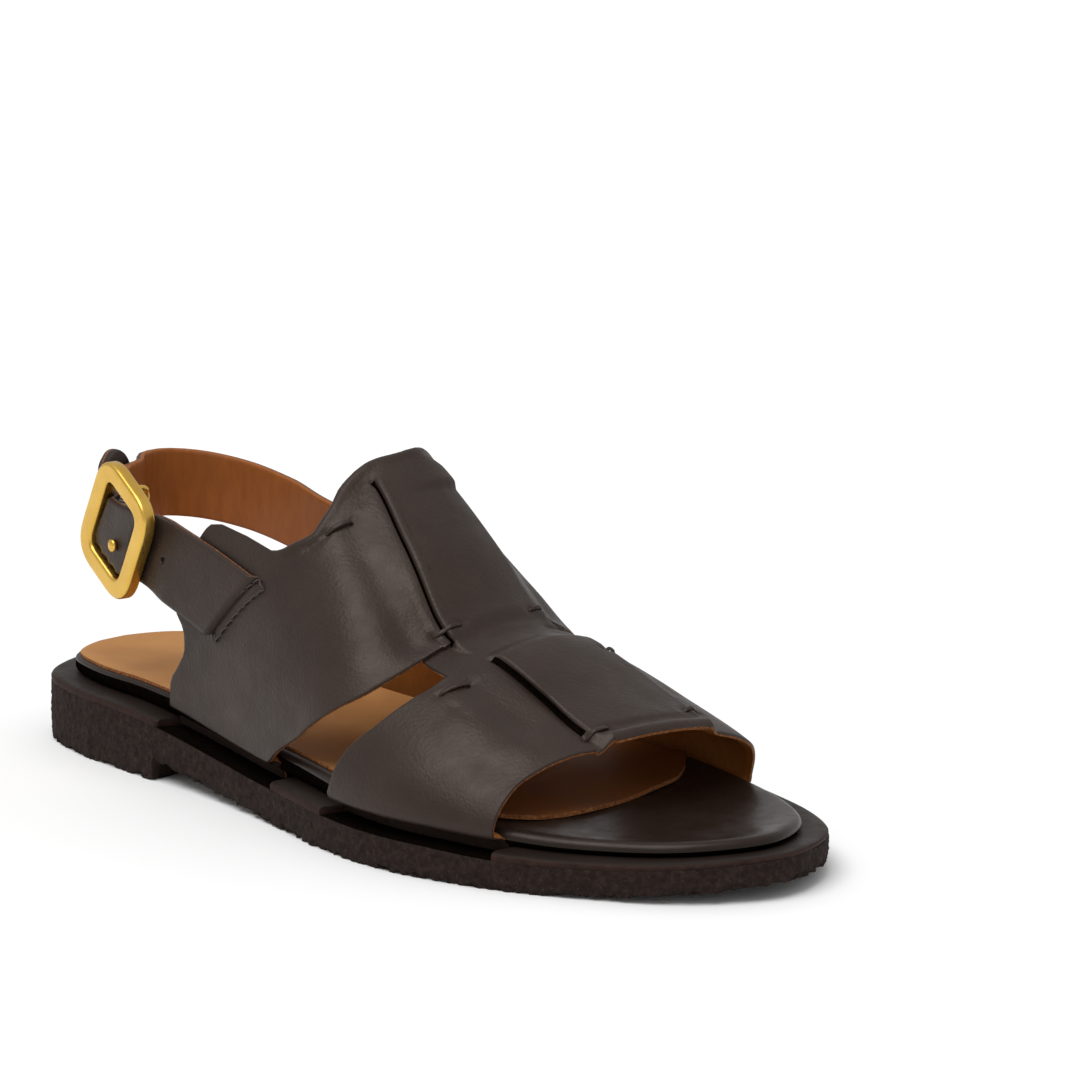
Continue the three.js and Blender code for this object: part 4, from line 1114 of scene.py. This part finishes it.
def lace_bar(index, start, end):
    """Narrow leather strip that crosses from one hole to another."""
    steps = np.linspace(0, 1, 21)
    places, normals = outer_place(lerp(start[0], end[0], steps), lerp(start[1], end[1], steps))
    straight = places[0] + steps[:, None] * (places[-1] - places[0])
    above = normals[len(steps) // 2]
    lift = 0.85 * np.maximum((places - straight) @ above, 0)
    middle = steps * (1 - steps) * 4
    line = straight + (lift - BAR_SUNK + 1.8 * middle**0.45)[:, None] * above
    points, faces = sweep(line, above, 0.35 + 0.30 * middle**0.7, 0.35 + 0.05 * middle, 14, power=0.8)
    finish_piece(add_mesh(f"Lace_bar_{index}", points, faces, [DARK], sharp=60))


STITCH_ROWS = (((-21.4, -0.665), (-39.0, -0.848)), ((-23.9, -0.652), (-40.9, -0.828)))
STITCHES = 8
THREAD_RADIUS = 0.26
X_AXIS = (1.0, 0.0, 0.0)


def box_stitch():
    """Stitches of the narrow box in front of the buckle strap's slit."""
    points, faces = [], []
    corners = [*STITCH_ROWS[0], *STITCH_ROWS[1][::-1]]
    for k, (start, end) in enumerate(zip(corners, corners[1:] + corners[:1])):
        count = STITCHES if k % 2 == 0 else 1
        for stitch in range(count):
            t = (stitch + np.linspace(0.10, 0.90, 9)) / count
            places, normals = outer_place(lerp(start[0], end[0], t), lerp(start[1], end[1], t))
            arch = 0.75 - 0.75 * np.linspace(-1, 1, 9)**4
            line = places + normals * arch[:, None]
            rod, rod_faces = sweep(line, X_AXIS, THREAD_RADIUS, THREAD_RADIUS, 8)
            faces += [[v + sum(map(len, points)) for v in face] for face in rod_faces]
            points.append(rod)
    finish_piece(add_mesh("Box_stitch", np.vstack(points), faces, [THREAD], sharp=60))


# Straps


class Line:
    """Smooth line through points, read by distance."""

    def __init__(self, points):
        self.points = centripetal(points, False, 60)
        lengths = np.linalg.norm(np.diff(self.points, axis=0), axis=1)
        self.reach = np.concatenate([[0], np.cumsum(lengths)])
        self.length = self.reach[-1]

    def at(self, distance):
        distance = np.clip(distance, 0, self.length)
        return np.stack([np.interp(distance, self.reach, self.points[:, k]) for k in range(3)], axis=-1)

    def frame(self, distance, side):
        """Place, outward normal and upward width at distances along the line."""
        place = self.at(distance)
        way = unit(self.at(distance + 0.4) - self.at(distance - 0.4))
        normal = -side * unit(np.stack([-way[..., 1], way[..., 0], np.zeros(way.shape[:-1])], axis=-1))
        width = np.cross(way, normal)
        return place, normal, unit(width * side_of(width[..., 2:3]))


def strap_line(rows, side):
    """Centre line of a strap from its table, on the quarter's surface where it lies on it."""
    along, across, height, beside = np.array(rows).T
    x, z = along_at(along), PEAK_HEIGHT * height
    on_side = side_across(x, z, side) + side * (GAP + STRAP_THICKNESS / 2)
    return Line(np.column_stack([x, lerp(across * HALF_BALL, on_side, beside), z]))


STRAP_EDGE = 0.5
STRAP_STEP = 0.8
STRAP_COLUMNS = 17
THINNEST = 0.15


def strap_grid(length, width, taper, tip):
    """Distances along a strap, half widths there and places across it from -1 to 1."""
    tip_half = width / 2 * (1 - taper)
    straight = length - tip_half if tip else length
    stops = np.linspace(0, straight, int(straight / STRAP_STEP) + 1)
    halves = lerp(width / 2, tip_half, stops / straight)
    if tip:
        turns = np.linspace(0, np.pi / 2, 14)[1:] * 0.995
        stops = np.concatenate([stops, straight + tip_half * np.sin(turns)])
        halves = np.concatenate([halves, tip_half * np.cos(turns)])
    edges = np.array([0.0, 0.15, 0.4]) / (width / 2)
    columns = np.concatenate([-1 + edges, np.linspace(-1, 1, STRAP_COLUMNS)[1:-1], 1 - edges[::-1]])
    distance, across = np.meshgrid(stops, columns, indexing="ij")
    return distance, across, halves[:, None]


def strap_sheet(name, line, side, width, thickness, looks, rows=None, slant=0.0, taper=0.0, tip=False,
                shape=None, end_thickness=None):
    """Strap with softly rounded edges. `shape` adds a height from the distance along and the place across."""
    distance, across, halves = strap_grid(line.length, width, taper, tip)
    ahead = slant * (1 - across) * np.maximum(0, 1 - distance / SLANT_LENGTH)
    place, normal, up = line.frame(distance + ahead, side)
    point = place + up * (across * halves)[..., None]
    if rows is not None:
        beside = column(sorted(rows), 3)(share_of(point[..., 0]))
        on_side = side_across(point[..., 0], point[..., 2], side) + side * (GAP + thickness / 2)
        point[..., 1] = lerp(point[..., 1], on_side, beside)
    rim = (1 - np.abs(across)) * width / 2
    ends = distance if tip else np.minimum(distance, line.length - distance)
    round_share = np.clip(1 - np.minimum(rim, ends) / STRAP_EDGE, 0, 1)
    drop = STRAP_EDGE * (1 - np.sqrt(1 - round_share**2))
    lift = shape(distance, across * halves) if shape else np.zeros(distance.shape)
    fold = smooth((distance - line.length + 2 * ELASTIC_OVERLAP) / ELASTIC_OVERLAP)
    half_wall = np.maximum(lerp(thickness, end_thickness or thickness, fold) / 2 - drop * 1.65, THINNEST)
    outer = point + normal * (half_wall + lift)[..., None]
    inner = point - normal * (half_wall - lift)[..., None]
    faces, kinds = sheet_faces(distance.shape)
    if side < 0:
        outer, inner = inner, outer
        kinds = [{0: 1, 1: 0}.get(kind, kind) for kind in kinds]
    return add_mesh(name, np.stack([outer, inner]), faces, looks, kinds, sharp=50)


buckle_line = strap_line(BUCKLE_STRAP_PATH, -1)
heel_line = strap_line(HEEL_STRAP_PATH, 1)
SEAT_DISTANCE = buckle_line.length * BUCKLE_SEAT
Z_AXIS = (0.0, 0.0, 1.0)
LEAN = math.radians(-BUCKLE_LEAN)


def drill(piece, centre, axis, radius, depth):
    """Round hole through a piece, at a place in millimetres."""
    ends = np.array([centre - axis * depth, centre + axis * depth])
    points, faces = sweep(ends, Z_AXIS, radius, radius, 20)
    tool = add_mesh("hole_tool", points, faces, [SHADE])
    cutter = piece.modifiers.new("hole", "BOOLEAN")
    cutter.object = tool
    cutter.operation = "DIFFERENCE"
    cutter.solver = "EXACT"
    bpy.context.view_layer.update()
    drilled = piece.evaluated_get(bpy.context.evaluated_depsgraph_get())
    mesh = bpy.data.meshes.new_from_object(drilled)
    piece.modifiers.clear()
    piece.data = mesh
    bpy.data.objects.remove(tool)


def seat_frame():
    """Centre of the buckle behind its face, its axes and its outward normal."""
    place, normal, up = buckle_line.frame(np.array(SEAT_DISTANCE), -1)
    toward = np.cross(up, normal)
    x_axis = toward * math.cos(LEAN) + up * math.sin(LEAN)
    y_axis = -toward * math.sin(LEAN) + up * math.cos(LEAN)
    return place + up * BUCKLE_RAISE, x_axis, y_axis, normal


STRAP_SWELL = 2.9
END_SINK = 2.0
END_SLOPE = 2.2
HOLE_RADIUS = 0.9


def strap_start(distance):
    """Height of a strap near its start, where it sinks into the slit of the quarter."""
    return -END_SINK * (1 - smooth(distance / END_SLOPE))


def buckle_strap():
    """Strap from its slit in the quarter to the round free tip, with a swell in the buckle's window."""
    def shape(distance, height):
        ahead, above = SEAT_DISTANCE - distance, height - BUCKLE_RAISE
        x = ahead * math.cos(LEAN) + above * math.sin(LEAN)
        y = -ahead * math.sin(LEAN) + above * math.cos(LEAN)
        half_width, half_height = BUCKLE_WIDTH / 2 - BUCKLE_BAR, BUCKLE_HEIGHT / 2 - BUCKLE_BAR
        swell = smooth((half_width + 0.8 - np.abs(x)) / 1.8) * smooth((y + half_height + 0.6) / 1.8)
        return strap_start(distance) + STRAP_SWELL * swell

    piece = strap_sheet("Buckle_strap", buckle_line, -1, STRAP_WIDTH, STRAP_THICKNESS, [DARK, DARK, RAW],
                        rows=BUCKLE_STRAP_PATH, slant=SLIT_SLANT, taper=STRAP_TAPER, tip=True, shape=shape)
    place, normal, _ = buckle_line.frame(np.array(SEAT_DISTANCE - HOLE_PITCH), -1)
    drill(piece, place, normal, HOLE_RADIUS, 2 * STRAP_THICKNESS)
    finish_piece(piece, "buckle_strap")


def heel_strap():
    """Strap from its slit on the big-toe side round the heel, with fine creases inside."""
    def shape(distance, height):
        folds = 0.10 * ramp(distance, 60, 100) * np.sin(distance * 1.9 + 0.8 * np.sin(0.33 * height))
        return folds + strap_start(distance)

    piece = strap_sheet("Heel_strap", heel_line, 1, HEEL_STRAP_WIDTH, STRAP_THICKNESS, [DARK, LINING, RAW],
                        rows=HEEL_STRAP_PATH, slant=SLIT_SLANT, shape=shape,
                        end_thickness=ELASTIC_THICKNESS + 2 * GAP + 2 * POCKET_WALL)
    finish_piece(piece, "heel_strap")


def elastic():
    """Elastic from inside the heel strap's end to the bar of the buckle."""
    places = heel_line.at(heel_line.length - np.array([ELASTIC_OVERLAP, ELASTIC_OVERLAP / 2, 0]))
    beyond = places[2] + unit(places[2] - heel_line.at(heel_line.length - 0.4)) * 4 * GAP
    seat, normal, up = buckle_line.frame(np.array(SEAT_DISTANCE), -1)
    depth = STRAP_THICKNESS / 2 + GAP + 2 * BAR_RADIUS + GAP + ELASTIC_THICKNESS / 2
    end = seat - normal * depth
    flat = end - np.cross(up, normal) * ELASTIC_FLAT
    piece = strap_sheet("Elastic", Line([*places, beyond, flat, end]), 1, ELASTIC_WIDTH, ELASTIC_THICKNESS,
                        [WEAVE, WEAVE, WEAVE])
    finish_piece(piece, "elastic")


# Buckle

SOFT_EDGE = 0.9
STUD_FOOT = 0.9
STUD_STEPS = 20
BAR_SLIM = 0.75
# Top of the prong's stud. Columns: radius, height over the strap's middle
STUD_TOP = [(1.0, 3.2), (1.15, 3.9), (1.5, 4.2), (1.75, 4.7), (1.55, 5.2), (0.9, 5.5), (0.25, 5.6)]


def rounded_outline(width, height, corner, steps=10):
    """Closed outline with rounded corners, as points from a corner round."""
    w, h = width / 2, height / 2
    half = [((w - corner, -h), (w, -h), (w, -h + corner)), ((w, h - corner), (w, h), (w - corner, h))]
    corners = np.vstack([half, -np.array(half)])
    t = np.linspace(0, 1, steps)[:, None]
    parts = []
    for (start, turn, end), following in zip(corners, np.roll(corners, -1, 0)[:, 0]):
        parts += [(1 - t)**2 * start + 2 * t * (1 - t) * turn + t**2 * end, lerp(end, following, t[1:-1])]
    return np.vstack(parts)


def in_buckle(points):
    """Points of the buckle's own frame, in the frame of the shoe."""
    origin, x_axis, y_axis, normal = seat_frame()
    return origin + points[:, :1] * x_axis + points[:, 1:2] * y_axis + points[:, 2:3] * normal


def buckle_frame():
    """Flat satin frame with softly rounded edges."""
    outer = rounded_outline(BUCKLE_WIDTH, BUCKLE_HEIGHT, BUCKLE_CORNER)
    inner = rounded_outline(BUCKLE_WIDTH - 2 * BUCKLE_BAR, BUCKLE_HEIGHT - 2 * BUCKLE_BAR, OPENING_CORNER)
    soft = SOFT_EDGE / BUCKLE_BAR
    edge = [(soft * (1 - math.sin(a)), BUCKLE_THICKNESS - SOFT_EDGE * (1 - math.cos(a)))
            for a in np.linspace(0, np.pi / 2, 5)]
    face = [(share, BUCKLE_THICKNESS) for share in np.linspace(soft, 1 - soft, 5)[1:-1]]
    front = edge[::-1] + face + [(1 - share, z) for share, z in edge]
    section_loop = front + [(share, BUCKLE_THICKNESS - z) for share, z in reversed(front)]
    back = STRAP_THICKNESS / 2 + GAP
    rings = [np.column_stack([lerp(outer, inner, share), np.full(len(outer), back + z)])
             for share, z in section_loop]
    faces = ring_faces(len(rings), len(outer), closed=True)
    piece = add_mesh("Buckle_frame", in_buckle(np.vstack(rings)), faces, [BRASS], sharp=60)
    finish_piece(piece, "buckle_frame")


def buckle_bar():
    """Bar behind the strap and the stud of the prong in the strap's hole."""
    back, front = -(STRAP_THICKNESS / 2 + GAP + BAR_RADIUS), STRAP_THICKNESS / 2
    half = [(0, BAR_REACH, front), (0, BAR_REACH - 0.4, back / 2), (0, BAR_REACH - 2.8, back)]
    path = half + [(0, 0, back)] + [(x, -y, z) for x, y, z in reversed(half)]
    radius = BAR_RADIUS * BAR_SLIM
    points, faces = sweep(centripetal(path, False, 8), X_AXIS, radius, radius, 12)
    angle = np.linspace(0, 2 * np.pi, STUD_STEPS, endpoint=False)
    circle = np.column_stack([np.cos(angle), np.sin(angle), np.zeros(STUD_STEPS)])
    profile = [(STUD_FOOT, back), *STUD_TOP]
    stud = [r * circle + (PRONG_AHEAD, -PRONG_DROP, z) for r, z in profile]
    faces += [[v + len(points) for v in face] for face in ring_faces(len(profile), STUD_STEPS)]
    piece = add_mesh("Buckle_bar", in_buckle(np.vstack([points, *stud])), faces, [BRASS], sharp=60)
    finish_piece(piece, "buckle_bar")


outsole()
welt()
footbed()
sock_lining()
upper()
for number, (start, end) in enumerate(BARS, 1):
    lace_bar(number, start, end)
box_stitch()
buckle_strap()
heel_strap()
elastic()
buckle_frame()
buckle_bar()

# Stage, light and camera

FLOOR_HALF = 6.0
WORLD_LIGHT = 0.62
SUN_ENERGY = 1.75
SUN_SPREAD = 45
SUN_FROM = (0.05, -0.45, 1.0)


def stage():
    """Wide white floor."""
    look = Look("pale_floor").set(Base_Color=(0.95, 0.95, 0.95, 1), Roughness=0.9)
    mesh = bpy.data.meshes.new("floor")
    mesh.from_pydata([(FLOOR_HALF * x, FLOOR_HALF * y, 0) for x, y in ((-1, -1), (1, -1), (1, 1), (-1, 1))],
                     [], [(0, 1, 2, 3)])
    mesh.materials.append(look.material)
    floor = bpy.data.objects.new("floor", mesh)
    bpy.context.scene.collection.objects.link(floor)


def lights():
    """Even white surround with one wide soft sun from above the toe's outer side."""
    world = bpy.data.worlds.new("studio")
    world.use_nodes = True
    background = world.node_tree.nodes["Background"]
    background.inputs["Color"].default_value = (1.0, 1.0, 1.0, 1)
    background.inputs["Strength"].default_value = WORLD_LIGHT
    bpy.context.scene.world = world
    data = bpy.data.lights.new("sun", "SUN")
    data.energy = SUN_ENERGY
    data.angle = math.radians(SUN_SPREAD)
    sun = bpy.data.objects.new("sun", data)
    sun.rotation_euler = (-Vector(SUN_FROM)).to_track_quat("-Z", "Y").to_euler()
    bpy.context.scene.collection.objects.link(sun)


CAMERA_AZIMUTH = 46.5
CAMERA_ELEVATION = 13.8
CAMERA_DISTANCE = 1.5
CAMERA_TARGET = (0.0, 0.0, 0.030)
CAMERA_LENS = 197.99
CAMERA_SHIFT = (0.1142, 0.1369)


def camera():
    data = bpy.data.cameras.new("camera")
    data.sensor_width = 36
    data.lens = CAMERA_LENS
    data.shift_x, data.shift_y = CAMERA_SHIFT
    data.clip_start, data.clip_end = 0.05, 50
    view = bpy.data.objects.new("camera", data)
    a, e = math.radians(CAMERA_AZIMUTH), math.radians(CAMERA_ELEVATION)
    back = Vector((math.sin(a) * math.cos(e), -math.cos(a) * math.cos(e), math.sin(e)))
    view.location = Vector(CAMERA_TARGET) + back * CAMERA_DISTANCE
    view.rotation_euler = (-back).to_track_quat("-Z", "Y").to_euler()
    bpy.context.scene.collection.objects.link(view)
    bpy.context.scene.camera = view


stage()
lights()
camera()
bpy.context.scene.view_settings.view_transform = "Standard"
